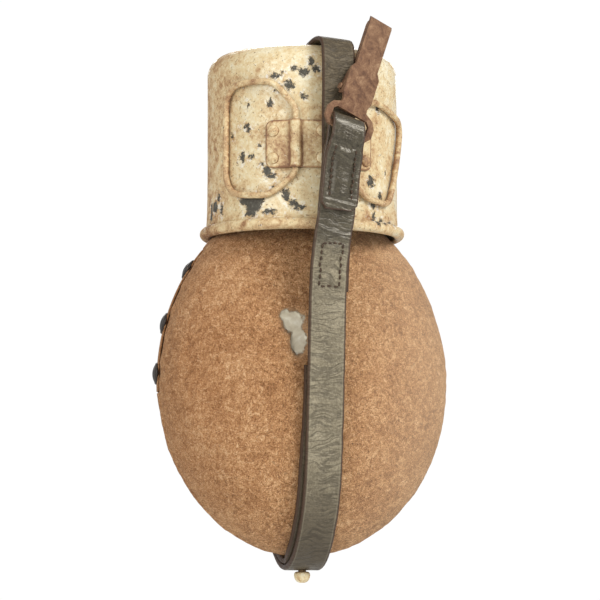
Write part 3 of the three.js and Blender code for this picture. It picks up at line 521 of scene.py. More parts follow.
# Paint lost from the cup's wall: degrees round the cup from its bracket, then height, half-width and
# half-height in mm.
CHIPS = (
    (-43.5, 155.5, 4.2, 3.4), (-49.0, 157.5, 2.6, 2.0), (-39.5, 158.0, 2.2, 2.2), (-33.0, 151.6, 3.0, 0.8),
    (-45.0, 151.0, 2.4, 1.2), (-23.0, 159.0, 1.6, 2.6), (-19.0, 155.0, 2.0, 1.5), (-14.5, 153.6, 2.2, 1.2),
    (-78.0, 156.5, 2.4, 2.6), (-84.0, 154.5, 1.3, 4.0), (-73.0, 160.5, 1.0, 1.6), (-70.0, 155.0, 1.0, 2.4),
    (-35.0, 170.0, 1.8, 1.6), (-31.5, 167.5, 1.6, 1.4), (-31.0, 162.8, 0.8, 0.7), (-51.5, 177.0, 1.3, 2.2),
    (-44.5, 177.0, 1.0, 1.0), (-48.5, 191.0, 1.8, 1.0), (-46.5, 188.8, 1.2, 1.2), (-47.5, 200.0, 0.7, 1.0),
    (-33.0, 200.5, 1.2, 1.6), (-27.5, 207.0, 1.6, 1.3), (-21.0, 208.5, 1.8, 2.2), (-29.0, 213.0, 2.4, 1.0),
    (-18.0, 215.5, 1.4, 1.2), (-12.5, 214.0, 2.2, 1.6), (-8.5, 219.0, 1.2, 2.0), (-5.0, 215.5, 1.4, 1.2),
    (-60.0, 187.0, 0.8, 1.1), (-40.0, 181.5, 0.7, 0.7), (-38.0, 173.0, 0.6, 0.6), (-12.0, 203.0, 1.6, 1.0),
    (32.0, 166.5, 2.0, 2.0), (40.0, 160.0, 1.0, 2.6), (25.0, 160.5, 1.4, 1.0), (33.5, 156.0, 1.3, 1.8),
    (34.0, 149.6, 0.9, 3.0), (41.0, 149.0, 1.0, 1.4), (51.0, 149.0, 1.6, 0.9), (38.0, 200.0, 1.2, 1.2),
    (46.0, 171.0, 0.7, 0.8), (104.0, 163.0, 3.2, 2.2), (128.0, 152.0, 5.0, 1.6), (150.0, 176.0, 2.0, 3.0),
    (-118.0, 158.0, 3.6, 2.4), (-140.0, 190.0, 2.2, 1.8), (-160.0, 154.0, 4.6, 1.8), (172.0, 205.0, 2.6, 1.6),
)


def paint_base(n, stain):
    """Aged cream paint: its colour, how rusty it is from a stain between 0 and 1, and its fine grain."""
    mottle = n.noise(n.position, 9.0, 6.0, 0.7, 0.6)
    fine = n.noise(n.position, 1.7, 5.0, 0.78, 0.4)
    pores = n.noise(n.position, 1.2, 3.0, 0.6)
    rusty = (mottle - 0.5) * 1.5 + 0.5 + (fine - 0.5) * 1.15 + (stain - 0.08) * 0.62
    colour = n.ramp(rusty, *PAINT_TONES)
    colour = n.mix(n.step(pores, 0.60, 0.69) * 0.75, colour, RUST_SPOT)
    colour = n.mix(n.step(pores, 0.37, 0.30) * 0.5, colour, PALE_SPOT)
    return colour, rusty, fine


def cup_material():
    """uv is the distance round the cup from its bracket and the height, in mm; outer is 1 outside."""
    n = Nodes("cup_paint")
    at, spread, outer = n.position, n.uv(), n.attribute("outer")
    u, v, _ = n.split(spread)
    left = n.step(u, -34.0, -58.0)
    low = n.step(v, 158.0, 147.0)
    round_bracket = n.length((spread - (4.0, 182.0, 0.0)) * (1 / 34.0, 1 / 24.0, 0.0))
    stain = left * 0.38 + low * 0.22 + n.step(round_bracket, 1.25, 0.5) * 0.22
    colour, rusty, fine = paint_base(n, stain)

    shaken = spread + n.wobble(at, 3.4, 6.0, 0.85, 0.8) * (10.0, 10.0, 0.0)
    specks = n.noise(at, 2.2, 3.0, 0.6, 0.4)
    chipped = (n.blend(low, 0.735, 0.70) - specks) * 30.0
    for angle, height, wide, tall in CHIPS:
        away = shaken - (rad(angle + CHIP_TURN) * CUP_RADIUS, height, 0.0)
        reach = n.length(away * (1 / wide, 1 / tall, 0.0))
        chipped = n.math("MINIMUM", chipped, (reach - 1.0) * min(wide, tall))
    lost = n.step(chipped, 0.22, 0.02) * outer
    brim = n.step(chipped, 0.9, 0.1) * outer
    flaked = n.step(n.noise(at, 2.4, 4.0, 0.7), 0.52, 0.58) * n.step(chipped, 2.2, 0.6)
    colour = n.mix(flaked * outer * 0.75, colour, PRIMER)
    colour = n.mix(brim * 0.35, colour, CHIP_BRIM)
    colour = n.mix(lost, colour, n.ramp(n.noise(at, 1.6, 4.0, 0.7), *CHIP_TONES))
    colour = n.mix(outer, n.ramp(n.noise(at, 6.0, 4.0, 0.6), *CUP_INSIDE_TONES), colour)
    return n.finish(
        Base_Color=colour,
        Roughness=n.blend(lost, n.step(rusty, 0.2, 1.0), 0.55),
        Metallic=lost * 0.1,
        Specular_IOR_Level=0.4,
        Normal=n.bump(fine * 0.25 - lost, 0.16, 0.8),
    )


def fitting_material(name, stain_level, worn):
    """The same paint on the small steel parts, made rustier where edge is 1: rust in their corners, and on
    the handles painted shade on the wire's side that faces the cup.
    """
    n = Nodes(name)
    colour, _, fine = paint_base(n, n.attribute("edge") * 0.65 + stain_level)
    chips = n.step(n.noise(n.position, 2.6, 4.0, 0.7, 0.5), worn, worn + 0.02)
    return n.finish(
        Base_Color=n.mix(chips, colour, CHIP),
        Roughness=0.55,
        Specular_IOR_Level=0.4,
        Normal=n.bump(fine * 0.4 - chips, 0.12, 0.7),
    )


def leather_material(name, tones, shine):
    """Old leather. uv is (across, along) in mm, edge is 1 at cut edges, polish is 1 where it's glossy."""
    n = Nodes(name)
    at, along = n.position, n.uv()
    edge, polish = n.attribute("edge"), n.attribute("polish")
    bent = along + n.wobble(along, 11.0, 1.0, 0.5) * (0.0, 9.0, 0.0)
    folds = n.noise(bent, 3.0, 2.0, 0.5, stretch=(0.14, 1.0, 1.0))
    finer = n.noise(bent, 1.8, 2.0, 0.5, stretch=(0.2, 1.0, 1.0))
    grain = n.noise(at, 0.9, 4.0, 0.75)
    worn = n.noise(at, 14.0, 5.0, 0.65, 0.6)
    tone = worn * 0.30 + folds * 0.10 + grain * 0.60
    dark, mid, light = tones
    colour = n.ramp(tone, (0.38, dark), (0.5, mid), (0.63, light))
    colour = n.mix(polish, colour, n.ramp(tone, *POLISHED_TONES))
    _, _, z = n.split(at)
    # Painted shade: the leather darkens towards the bottom, below about 60 mm, where it faces down.
    colour = n.mix(n.step(z, 60.0, 10.0) * 0.85, colour, PAINTED_SHADE_LEATHER)

    gap = n.math("ABSOLUTE", folds - 0.5)
    fine_gap = n.math("ABSOLUTE", finer - 0.5)
    split = n.step(gap, 0.045, 0.008) * n.step(worn, 0.38, 0.50)
    split = n.math("MAXIMUM", split, n.step(fine_gap, 0.045, 0.006) * 0.55)
    colour = n.mix(split * 0.52, colour, CRACK)
    rim = n.step(edge, 0.02, 0.25) * n.step(edge, 0.55, 0.3) * n.blend(polish, 0.25, 0.05)
    colour = n.mix(rim, colour, light)
    colour = n.mix(n.step(edge, 0.35, 0.8) * 0.88, colour, CUT_EDGE)
    height = (folds * 0.7 + grain * 0.22 - split * 0.5) * n.blend(polish, 1.0, 0.45)
    gloss = n.blend(n.step(worn, 0.35, 0.7), shine, shine + 0.16)
    return n.finish(
        Base_Color=colour,
        Roughness=n.blend(polish, gloss, 0.30),
        Specular_IOR_Level=n.blend(polish, 0.45, 0.65),
        Specular_Tint=(1.0, 0.93, 0.80),
        Normal=n.bump(height, 0.40, 0.9),
    )


def rust_material():
    n = Nodes("rusty_steel")
    coarse = n.noise(n.position, 5.0, 6.0, 0.7, 0.5)
    fine = n.noise(n.position, 0.8, 5.0, 0.75)
    tone = coarse * 0.6 + fine * 0.4
    # Painted highlight: ridges and edges, found by pointiness, are lightened.
    ridges = n.step(n.node("ShaderNodeNewGeometry", {}, "Pointiness"), 0.53, 0.60)
    return n.finish(
        Base_Color=n.mix(ridges * 0.55, n.ramp(tone, *RUST_TONES), RUST_EDGE_HIGHLIGHT),
        Roughness=n.blend(n.step(fine, 0.3, 0.7), 0.62, 0.85),
        Metallic=0.3,
        Specular_IOR_Level=0.4,
        Normal=n.bump(tone, 0.35, 0.8),
    )


def lacquer_material():
    n = Nodes("black_lacquer")
    worn = n.noise(n.position, 1.4, 5.0, 0.7)
    bare = n.step(worn, 0.60, 0.66)
    colour = n.mix(bare, LACQUER, WORN_LACQUER)
    rough = n.blend(bare, 0.36, 0.6)
    return n.finish(Base_Color=colour, Roughness=rough, Metallic=0.2, Normal=n.bump(worn, 0.06, 0.7))


def metal_material():
    n = Nodes("dull_aluminium")
    brushed = n.noise(n.position, 1.2, 5.0, 0.7, stretch=(1.0, 1.0, 4.0))
    colour = n.ramp(n.noise(n.position, 3.0, 5.0, 0.7), *METAL_TONES)
    rough = n.blend(brushed, 0.35, 0.6)
    return n.finish(Base_Color=colour, Metallic=0.75, Roughness=rough, Normal=n.bump(brushed, 0.05, 0.6))


def plain_material(name, tones, size, detail, roughness, rough, bump):
    """A matt material of mottled tones whose bump is (depth, strength)."""
    n = Nodes(name)
    mottle = n.noise(n.position, size, detail, roughness)
    return n.finish(Base_Color=n.ramp(mottle, *tones), Roughness=rough, Normal=n.bump(mottle, *bump))


FELT_LOOK = felt_material()
CUP_LOOK = cup_material()
FITTING_LOOK = fitting_material("fitting_paint", 0.26, 0.68)
STUD_LOOK = fitting_material("stud_paint", 0.02, 0.70)
STRAP_LOOK = leather_material("strap_leather", STRAP_TONES, 0.42)
CLOSING_LOOK = leather_material("inner_leather", CLOSING_TONES, 0.5)
RUST_LOOK = rust_material()
LACQUER_LOOK = lacquer_material()
METAL_LOOK = metal_material()
RUBBER_LOOK = plain_material("old_rubber", RUBBER_TONES, 2.0, 4.0, 0.6, 0.75, (0.1, 0.6))
THREAD_LOOK = plain_material("waxed_thread", THREAD_TONES, 0.5, 3.0, 0.7, 0.8, (0.12, 0.8))


# ---------- felt cover ----------
def worn_depth(x, z):
    """1 inside the hole worn in the felt, 0 outside it."""
    nearest = np.full(np.shape(x), 9.0)
    for cx, cz, rx, rz in WORN_LOBES:
        nearest = np.minimum(nearest, np.hypot((x - cx) / rx, (z - cz) / rz))
    return smooth(1.18, 0.92, nearest)


def snap_points():
    places = []
    for z in SNAP_HEIGHTS:
        x = -float(half_width(z)) * float(arch(SNAP_Y, half_depth(z, True)))
        semi = LOWER if z < MIDDLE else UPPER
        normal = Vector((x / HALF_WIDTH**2, SNAP_Y / HALF_FRONT**2, (z - MIDDLE) / semi**2)).normalized()
        places.append((Vector((x, SNAP_Y, z)), normal))
    return places


def felt_relief(p, seam_depth=1.0):
    """How far the felt's outside stands proud of its smooth shape, in mm, at each point."""
    relief = 0.40 * lump(p, 15.0, 3, 3.1) + 0.20 * lump(p, 3.4, 3, 8.4) - 0.45
    relief -= 0.9 * smooth(20.0, 62.0, -p[:, 0])
    relief -= seam_depth * smooth(2.6, 0.0, np.abs(p[:, 1]))
    for at, _ in snap_points():
        away = np.linalg.norm(p - np.array(at), axis=1)
        relief -= 0.45 * smooth(8.0, 4.0, away)
        ripple = np.cos(np.arctan2(p[:, 2] - at.z, p[:, 1] - at.y) * 5)
        relief += 0.3 * ripple * smooth(16.0, 9.0, away) * smooth(4.0, 8.0, away)
    rim = smooth(CUP_RIM - 8, CUP_RIM - 2, p[:, 2]) * smooth(CUP_RIM + 8, CUP_RIM + 4, p[:, 2])
    return np.where(rim > 0, relief * (1 - rim) - 0.3 * rim, relief)


def felt_panel(name, node, front):
    rows, columns = 200, 220
    seam = 0.15
    start = math.acos(STUD_HOLE / HALF_WIDTH)
    top = math.asin((FELT_TOP - MIDDLE) / UPPER)
    latitudes = np.linspace(-start, top, rows)
    angles = np.linspace(0, math.pi, columns) if front else np.linspace(math.pi, 2 * math.pi, columns)
    lat, ang = np.meshgrid(latitudes, angles, indexing="ij")
    layers = []
    for inset in (0.0, FELT):
        semi = np.where(lat < 0, LOWER, UPPER) - inset
        z = MIDDLE + semi * np.sin(lat)
        x = (HALF_WIDTH - inset) * np.cos(lat) * np.cos(ang)
        y = half_depth(z, front, inset) * np.sin(ang)
        y = np.where(front, np.maximum(y, seam), np.minimum(y, -seam))
        layers.append(np.stack([x, y, z], axis=-1))
    outer, inner = layers
    flat = outer.reshape(-1, 3)
    normal = (flat - (0, 0, MIDDLE)) / (HALF_WIDTH**2, HALF_BACK**2, LOWER**2)
    normal /= np.linalg.norm(normal, axis=1, keepdims=True)
    relief = felt_relief(flat)
    if front:
        flap_zone = (
            smooth(FLAP_LOW - 1.2, FLAP_LOW - 0.2, flat[:, 2])
            * smooth(FLAP_HIGH + 1.2, FLAP_HIGH + 0.2, flat[:, 2])
            * smooth(FLAP_EDGE + 1.4, FLAP_EDGE + 0.4, flat[:, 1])
            * (flat[:, 0] < -20)
        )
        relief = relief * (1 - flap_zone) - (FLAP_THICKNESS + 0.5) * flap_zone
    else:
        relief -= 2.7 * worn_depth(flat[:, 0], flat[:, 2])
    shaped = flat + normal * relief[:, None]
    side = 1.0 if front else -1.0
    shaped[:, 1] = side * np.maximum(side * shaped[:, 1], seam)
    # The neck's opening pulls the top edges in to one round hole.
    reach = np.hypot(inner[-1, :, 0], inner[-1, :, 1])
    inner[-1, :, :2] *= (NECK_HOLE / np.maximum(reach, 1e-6))[:, None]
    points = np.vstack([shaped, inner.reshape(-1, 3)])
    faces = shell_faces(rows, columns)
    add_piece(name, points, faces, "flask", (node,), FELT_LOOK)


def cover_flap():
    rows, columns = 110, 34
    z = np.linspace(FLAP_LOW, FLAP_HIGH, rows)
    y = np.linspace(0.3, FLAP_EDGE, columns)
    zz, yy = np.meshgrid(z, y, indexing="ij")
    layers = []
    for inset in (0.0, FLAP_THICKNESS):
        x = -half_width(zz, inset) * arch(yy, half_depth(zz, True, inset))
        layers.append(np.stack([x, yy, zz], -1).reshape(-1, 3))
    outer, inner = layers
    to_edge = np.minimum(np.minimum(outer[:, 2] - FLAP_LOW, FLAP_HIGH - outer[:, 2]), outer[:, 1] - 0.3)
    relief = felt_relief(outer, seam_depth=0.2) - 0.7 * smooth(1.6, 0.0, to_edge)
    outer[:, 0] -= np.maximum(relief, -0.9)
    faces = shell_faces(rows, columns)
    sewn, free = (-62.5, FLAP_EDGE, 100.0), (-62.5, FLAP_EDGE - 6.0, 100.0)
    bends = ("flap", sewn, free)
    points = np.vstack([outer, inner])
    add_piece("cover_flap_felt", points, faces, "flask", ("cover_flap",), FELT_LOOK, bends=bends)


def snaps():
    profile = [(0.0, -1.9), (4.4, -1.9), (SNAP_RADIUS, -1.2), (5.0, -0.6), (4.5, -0.15)]
    profile += [(4.1, -0.08), (3.6, 0.15), (2.6, 0.62), (1.3, 0.95), (0.0, 1.05)]
    for i, (at, normal) in enumerate(snap_points(), 1):
        points, faces = lathe(profile, 40)
        turn = np.array(normal.to_track_quat("Z", "Y").to_matrix())
        points = points @ turn.T + np.array(at)
        name, nodes = f"snap_dome_{i}", (f"snap_cap_{i}",)
        add_piece(name, points, faces, "flap", nodes, LACQUER_LOOK)


# ---------- cup ----------
def cup():
    """The cup upside down: up its outside from the rolled rim, over its top and down its inside."""
    segments = 192
    shoulder = CUP_TOP - CUP_CORNER
    inner_radius, inner_corner = CUP_RADIUS - CUP_WALL, CUP_CORNER - CUP_WALL
    outside = []
    outside += around_fold(CUP_RADIUS + 0.7, CUP_RIM + CUP_BEAD, CUP_BEAD, -135, 108, 21)
    for z in np.linspace(CUP_RIM + 2 * CUP_BEAD + 0.8, shoulder, 56):
        outside.append((CUP_RADIUS + 0.45 * math.exp(-(z - CUP_RIM - 5) / 5), z))
    for t in np.linspace(0, math.pi / 2, 14)[1:]:
        r = CUP_RADIUS - CUP_CORNER + CUP_CORNER * math.cos(t)
        outside.append((r, shoulder + (CUP_CORNER + CUP_CROWN) * math.sin(t)))
    top_rings = (28.0, 20.0, 12.0, 5.0)
    for r in (*top_rings, 0.0):
        outside.append((r, CUP_TOP + CUP_CROWN - 0.5 * (1 - (r / 34) ** 2)))
    inside = [(r, CUP_TOP - CUP_WALL - 0.3) for r in top_rings[::-1]]
    for t in np.linspace(math.pi / 2, 0, 8):
        r = CUP_RADIUS - CUP_CORNER + inner_corner * math.cos(t)
        inside.append((r, shoulder + inner_corner * math.sin(t)))
    inside += [(inner_radius, z) for z in np.linspace(shoulder - 4, CUP_RIM + 2, 20)]
    profile = outside + inside
    points, faces = lathe(profile, segments, -math.pi / 2)

    counts = [segments if r > 1e-6 else 1 for r, _ in profile]
    turn = (np.linspace(0, 2 * math.pi, segments, endpoint=False) + math.pi) % (2 * math.pi) - math.pi
    around = np.concatenate([turn[:count] for count in counts])
    uv = np.column_stack([around * CUP_RADIUS, points[:, 2]])
    outer = np.repeat([1] * len(outside) + [0] * len(inside), counts)
    dent = 0.22 * lump(points, 32.0, 2, 5.5)
    away = np.hypot(points[:, 0], points[:, 1])
    points[:, :2] *= (1 + dent / np.maximum(away, 8.0))[:, None]
    values = {"outer": outer}
    add_piece("cup_shell", turned(points), faces, "cup", ("cup_body",), CUP_LOOK, uv, values)


def turned(points):
    """Turns points about the cup's axis to the cup's own heading."""
    c, s = math.cos(rad(CUP_TURN)), math.sin(rad(CUP_TURN))
    return points @ np.array([[c, s, 0], [-s, c, 0], [0, 0, 1.0]])


def on_cup(radius, angle, z):
    a = np.radians(angle)
    return np.stack([radius * np.sin(a), -radius * np.cos(a), z + 0 * a], axis=-1)


# The corners of each folded handle: degrees round the cup, height in mm, rounding in mm.
LEFT_HANDLE = ((-15, 198, 3), (-28, 210.2, 6), (-60.5, 210.2, 12))
LEFT_HANDLE += ((-61, 160.5, 12), (-30, 158.6, 6), (-15, 168.5, 3))
RIGHT_HANDLE = ((15, 198, 3), (35, 202.5, 3), (70, 195, 8), (48, 156.5, 6), (27, 158.5, 5), (15, 168.5, 3))


def cup_handle(name, node, body, corners):
    butt = (BRACKET_LOW + BRACKET_HIGH) / 2
    flat = [(np.array([HANDLE_RADIUS * rad(a), z]), fillet) for a, z, fillet in corners]
    path = [np.array([flat[0][0][0], butt + 0.5])]
    for i, (corner, fillet) in enumerate(flat):
        before = path[0] if i == 0 else flat[i - 1][0]
        after = np.array([flat[-1][0][0], butt - 0.5]) if i == len(flat) - 1 else flat[i + 1][0]
        start = corner + (before - corner) / np.linalg.norm(before - corner) * fillet
        end = corner + (after - corner) / np.linalg.norm(after - corner) * fillet
        for t in np.linspace(0, 1, 12):
            path.append((1 - t) ** 2 * start + 2 * t * (1 - t) * corner + t**2 * end)
    path.append(np.array([flat[-1][0][0], butt - 0.5]))
    path, _ = resample(np.array(path), 0.8)
    wire = on_cup(HANDLE_RADIUS, np.degrees(path[:, 0] / HANDLE_RADIUS), path[:, 1])
    radius = WIRE - 0.1 + 0.05 * lump(wire, 6.0, 2, 2.2)
    points, faces = tube(wire, radius, 18)
    from_axis = np.hypot(points[:, 0], points[:, 1])
    # The whole wire is a little darker and browner. The side that faces the cup is darker still: painted
    # shade between the wire and the cup.
    edge = 0.2 + 0.5 * smooth(HANDLE_RADIUS + 0.6, HANDLE_RADIUS - 0.9, from_axis)
    values = {"edge": edge}
    add_piece(name, turned(points), faces, body, (node,), FITTING_LOOK, values=values)


def bracket():
    """A strip riveted flat to the cup that swells over the straight part of each handle."""
    rows, columns = 60, 240
    inner, thick, corner = CUP_RADIUS + 0.3, 1.0, 3.5
    angles = np.linspace(-BRACKET_HALF, BRACKET_HALF, columns)
    shift = np.minimum(np.abs(angles - PIVOT_ANGLE), np.abs(angles + PIVOT_ANGLE))
    t = np.radians(shift) * HANDLE_RADIUS
    over = WIRE + 0.2

    def over_wire(radius):
        """The distance from the cup's axis of a round swelling about the handle."""
        return np.where(t < radius, HANDLE_RADIUS + np.sqrt(np.clip(radius**2 - t**2, 0, None)), 0)

    outside = np.maximum(inner + thick, over_wire(over + thick))
    inside = np.maximum(inner, over_wire(over))
    half_arc = rad(BRACKET_HALF) * inner
    from_end = np.clip(half_arc - np.abs(np.radians(angles)) * inner, 0, None)
    cut = corner - np.sqrt(np.clip(corner**2 - (corner - np.minimum(from_end, corner)) ** 2, 0, None))
    share = np.linspace(0, 1, rows)
    low, high = BRACKET_LOW + cut, BRACKET_HIGH - cut
    z = low[None, :] + share[:, None] * (high - low)[None, :]
    to_edge = np.minimum(np.minimum(z - low, high - z), from_end[None, :])
    rounded = 0.35 * smooth(0.9, 0.0, to_edge)
    out = on_cup(outside[None, :] - rounded, np.broadcast_to(angles, z.shape), z).reshape(-1, 3)
    back = on_cup(np.broadcast_to(inside, z.shape), np.broadcast_to(angles, z.shape), z).reshape(-1, 3)
    faces = shell_faces(rows, columns)
    groove = np.abs(t[None, :] - (over + thick)) + 0 * z
    edge = np.maximum(smooth(1.3, 0.1, to_edge), 0.8 * smooth(1.4, 0.0, groove)).ravel()
    points = turned(np.vstack([out, back]))
    nodes, values = ("handle_bracket",), {"edge": np.concatenate([edge, edge])}
    add_piece("handle_plate", points, faces, "cup", nodes, FITTING_LOOK, values=values)


def rivets():
    base, radius, rise = CUP_RADIUS + 0.3 + 1.0, 2.65, 1.5
    profile = [(0.0, base - 0.6), (radius, base - 0.6)]
    angles = np.linspace(0, math.pi / 2, 9)[:-1]
    profile += [(radius * math.cos(a), base + 0.15 + rise * math.sin(a)) for a in angles]
    profile.append((0.0, base + 0.15 + rise))
    dome, faces = lathe(profile, 32)
    edge = smooth(base + 0.9, base + 0.1, dome[:, 2])
    places = [(rad(angle), z) for angle in RIVET_ANGLES for z in RIVET_HEIGHTS]
    for index, (a, z) in enumerate(places, 1):
        side, up, out = (math.cos(a), math.sin(a), 0), (0, 0, 1), (math.sin(a), -math.cos(a), 0)
        points = turned(dome @ np.array([side, up, out]) + (0, 0, z))
        name, nodes = f"rivet_dome_{index}", (f"bracket_rivet_{index}",)
        add_piece(name, points, faces, "cup", nodes, FITTING_LOOK, values={"edge": edge})


# ---------- leather ----------
def strap_section(width, thick):
    """A rounded bar of leather: (across, out) offsets and how near each is to a cut edge."""
    corner = 0.8
    half, flat = width / 2 - corner, thick / 2
    out = []
    for side in (1, -1):
        out += [(side * a, side * flat) for a in np.linspace(-half, half, 18)]
        for t in np.linspace(side * math.pi / 2, (side / 2 - 1) * math.pi, 7)[1:-1]:
            rise = math.sin(t)
            level = 0 if abs(rise) < 0.01 else math.copysign(flat - corner, rise)
            out.append((side * half + corner * math.cos(t), level + corner * rise))
    offsets = np.array(out)
    edge = smooth(width / 2 - 1.5, width / 2 - 0.3, np.abs(offsets[:, 0]))
    return offsets, edge


def ribbon_rows(path, side, width, relief=None, thick=LEATHER, step=0.55, seed=1.0, first=0.0):
    """Rows of points of a leather ribbon along a path, with uv and edge numbers; side is the way across."""
    path, at = resample(path, step)
    across = np.broadcast_to(np.asarray(side, float), path.shape)
    along = directions(path)
    across = across - along * np.sum(across * along, axis=1, keepdims=True)
    across = across / np.linalg.norm(across, axis=1, keepdims=True)
    out = np.cross(along, across)
    offsets, edge = strap_section(width, thick)
    a = np.broadcast_to(offsets[None, :, 0], (len(path), len(offsets))).copy()
    b = np.broadcast_to(offsets[None, :, 1], a.shape).copy()
    flat = path[:, None, :] + across[:, None, :] * a[..., None] + out[:, None, :] * b[..., None]
    ragged = 0.16 * lump(flat.reshape(-1, 3), 7.0, 3, seed).reshape(a.shape)
    a = a + ragged * np.sign(a) * (np.abs(a) > width / 2 - 1)
    at = at + first
    if relief is not None:
        face = smooth(0.0, thick / 2, np.abs(b)) * np.sign(b)
        b = b + face * relief(at[:, None] + 0 * a, a, b)
    points = path[:, None, :] + across[:, None, :] * a[..., None] + out[:, None, :] * b[..., None]
    uv = np.stack([a, at[:, None] + 0 * a], axis=-1)
    return points, uv, np.broadcast_to(edge, a.shape).copy(), at


def ribbon_piece(name, rows, body, nodes, look, bends=None, polish=None):
    """A closed leather piece from rows of points; polish is how dark and glossy each row is."""
    points, uv, edge, at = rows
    count, columns = edge.shape
    ends = np.maximum(smooth(at[0] + 1.2, at[0] + 0.2, at), smooth(at[-1] - 1.2, at[-1] - 0.2, at))
    edge = np.maximum(edge, ends[:, None])
    faces = grid_faces(count, columns, wrap_columns=True)
    faces += [list(range(columns))[::-1], list(range((count - 1) * columns, count * columns))]
    values = {"edge": edge.ravel()}
    if polish is not None:
        values["polish"] = np.repeat(polish, columns)
    points, uv = points.reshape(-1, 3), uv.reshape(-1, 2)
    return add_piece(name, points, faces, body, nodes, look, uv, values, bends)


def on_belly(side, angle, stand_off):
    half = HALF_BACK if side < 0 else HALF_FRONT
    return (side * (half + stand_off) * math.cos(angle), MIDDLE - (LOWER + stand_off) * math.sin(angle))


def strap_stand_off(angle, side=1):
    """The strap steps out over the patch: low down on the front, nearly the whole way on the back."""
    start, end = (-16, -2) if side < 0 else (42, 54)
    return HUG + LAYER * float(smooth(rad(start), rad(end), angle))


def along_belly(side, start, end, count):
    angles = np.radians(np.linspace(start, end, count + 1))
    return [on_belly(side, a, strap_stand_off(a, side)) for a in angles]


def around_fold(y, z, radius, start, end, count=6):
    """Points along an arc, in degrees."""
    angles = np.radians(np.linspace(start, end, count + 1))
    return [(y + radius * math.cos(a), z + radius * math.sin(a)) for a in angles]


def flat_path(points, shift, per_segment=12):
    """A path in the YZ plane, shifted sideways by shift(y, z)."""
    yz = spline(points, per_segment)
    x = np.array([shift(y, z) for y, z in yz])
    return np.column_stack([x, yz])


def creases(strength_at, seed):
    """Fine folds across a strap, stronger where strength_at(along) is."""

    def relief(along, across, side):
        shape = along.shape
        a, b = along.ravel(), across.ravel()
        warp = 2.2 * lump(np.stack([a / 9, b / 9, 0 * a], 1), 1.0, 2, seed)
        rows = (a + warp) / 1.55
        folds = lump(np.stack([rows, b / 11.0, 0 * rows + seed], 1), 1.0, 2, seed)
        slow = lump(np.stack([a / 17, b / 14, 0 * rows], 1), 1.0, 2, seed + 4)
        crown = -0.12 * (across / (STRAP_WIDTH / 2)) ** 4
        return (folds.reshape(shape) * 0.10 + 0.06 * slow.reshape(shape)) * strength_at(along) + crown

    return relief


# Where the leather at the loop's foot would start to turn with the loop, and where it would follow it fully;
# given as bends, which add_piece does not use.
LOOP_BEND = ((LOOP_SHIFT, STRAP_BACK, 141.0), (LOOP_SHIFT, STRAP_BACK, 155.5))

STRAP_HEIGHTS = (25.0, 50.0, 90.0, 112.0, 127.0, 140.0, 149.0)
STRAP_SHIFTS = (-0.3, -1.0, -1.4, -1.7, -1.5, -0.4, LOOP_SHIFT)


def strap_shift(z):
    """How far the carrying strap lies to one side at a height on the back."""
    return float(np.interp(z, STRAP_HEIGHTS, STRAP_SHIFTS))


def strap_out(z):
    """The middle of the carrying strap's thickness where it hangs free above the belly."""
    return float(np.interp(z, [102, 148], [-46.6, STRAP_BACK]))


# The front layer of the loop: height above its foot, and how far its middle is from the back layer's.
LOOP_FRONT = ((LOOP_END - LOOP_FOOT, LAYER), (21.0, LAYER), (25.5, 4.1), (29.0, 6.3), (33.0, 8.2))


def across_loop(across, height):
    """The loop's leather is gathered where it goes through the hook's eye."""
    return across * (1 - LOOP_NARROWING * smooth(24.0, 33.0, height))


def loop_slant(x, height):
    """How far a point at x drops, because the leather slants with the bar it hangs on."""
    return x * np.clip(height / (LOOP_BAR - LOOP_FOOT - 6), 0, 1) * math.tan(rad(HOOK_SLANT)) * 0.7


def loop_rows(first):
    """The strap's end, folded forward over the hook's bar and stitched down."""
    bar_y = -LOOP_FOLD
    top = LOOP_BAR - LOOP_FOOT
    points = [(0.0, 0.0), (0.0, 20.8)] + around_fold(bar_y, top, LOOP_FOLD, 0, 180)
    points += [(-out, height) for height, out in LOOP_FRONT[::-1]]
    path = flat_path(points, lambda y, z: 0.0)

    def relief(along, across, side):
        from_end = length - along
        front = side > 0
        sewn = smooth(5.0, 7.5, from_end) * smooth(28.5, 26.5, from_end)
        panel = (0.9 + 0.4 * smooth(3.5, 0.0, np.abs(across))) * smooth(4.4, 3.5, np.abs(across))
        row = -0.5 * smooth(1.0, 0.2, np.abs(np.abs(across) - 5.1))
        fan = np.sin(across * 1.9 + 1.8 * np.sin(along * 0.30)) * smooth(37.0, 33.0, from_end)
        gathers = 0.30 * fan * smooth(26.5, 29.0, from_end) - 0.9 * smooth(2.6, 0.4, np.abs(from_end - 30.0))
        tucks = 0.2 * np.sin(from_end * 2.4 + 0.3 * across) * smooth(6.5, 4.5, from_end)
        crinkled = 1.4 + 5.0 * smooth(first + 6.0, first + 2.0, along)
        return creased(along, across, side) * crinkled + (sewn * (panel + row) + gathers + tucks) * front

    creased = creases(lambda along: 1.0 + 0 * along, 9.3)
    length = first + np.linalg.norm(np.diff(path, axis=0), axis=1).sum()
    settings = {"step": 0.45, "seed": 4.0, "first": first}
    points, uv, edge, at = ribbon_rows(path, (1.0, 0.0, 0.0), LOOP_WIDTH, relief, **settings)
    # The end is cut with sloping corners, and the leather slants with the bar it hangs on.
    share = smooth(length - 3.2, length, at)[:, None]
    z = points[..., 2]
    x = across_loop(points[..., 0], z) * (1 - 0.28 * share)
    z = z - loop_slant(x, z)
    thin = points[..., 1] + 0.5 * share
    return placed(np.stack([x, thin, z], axis=-1), loop_frame()), uv, edge, at


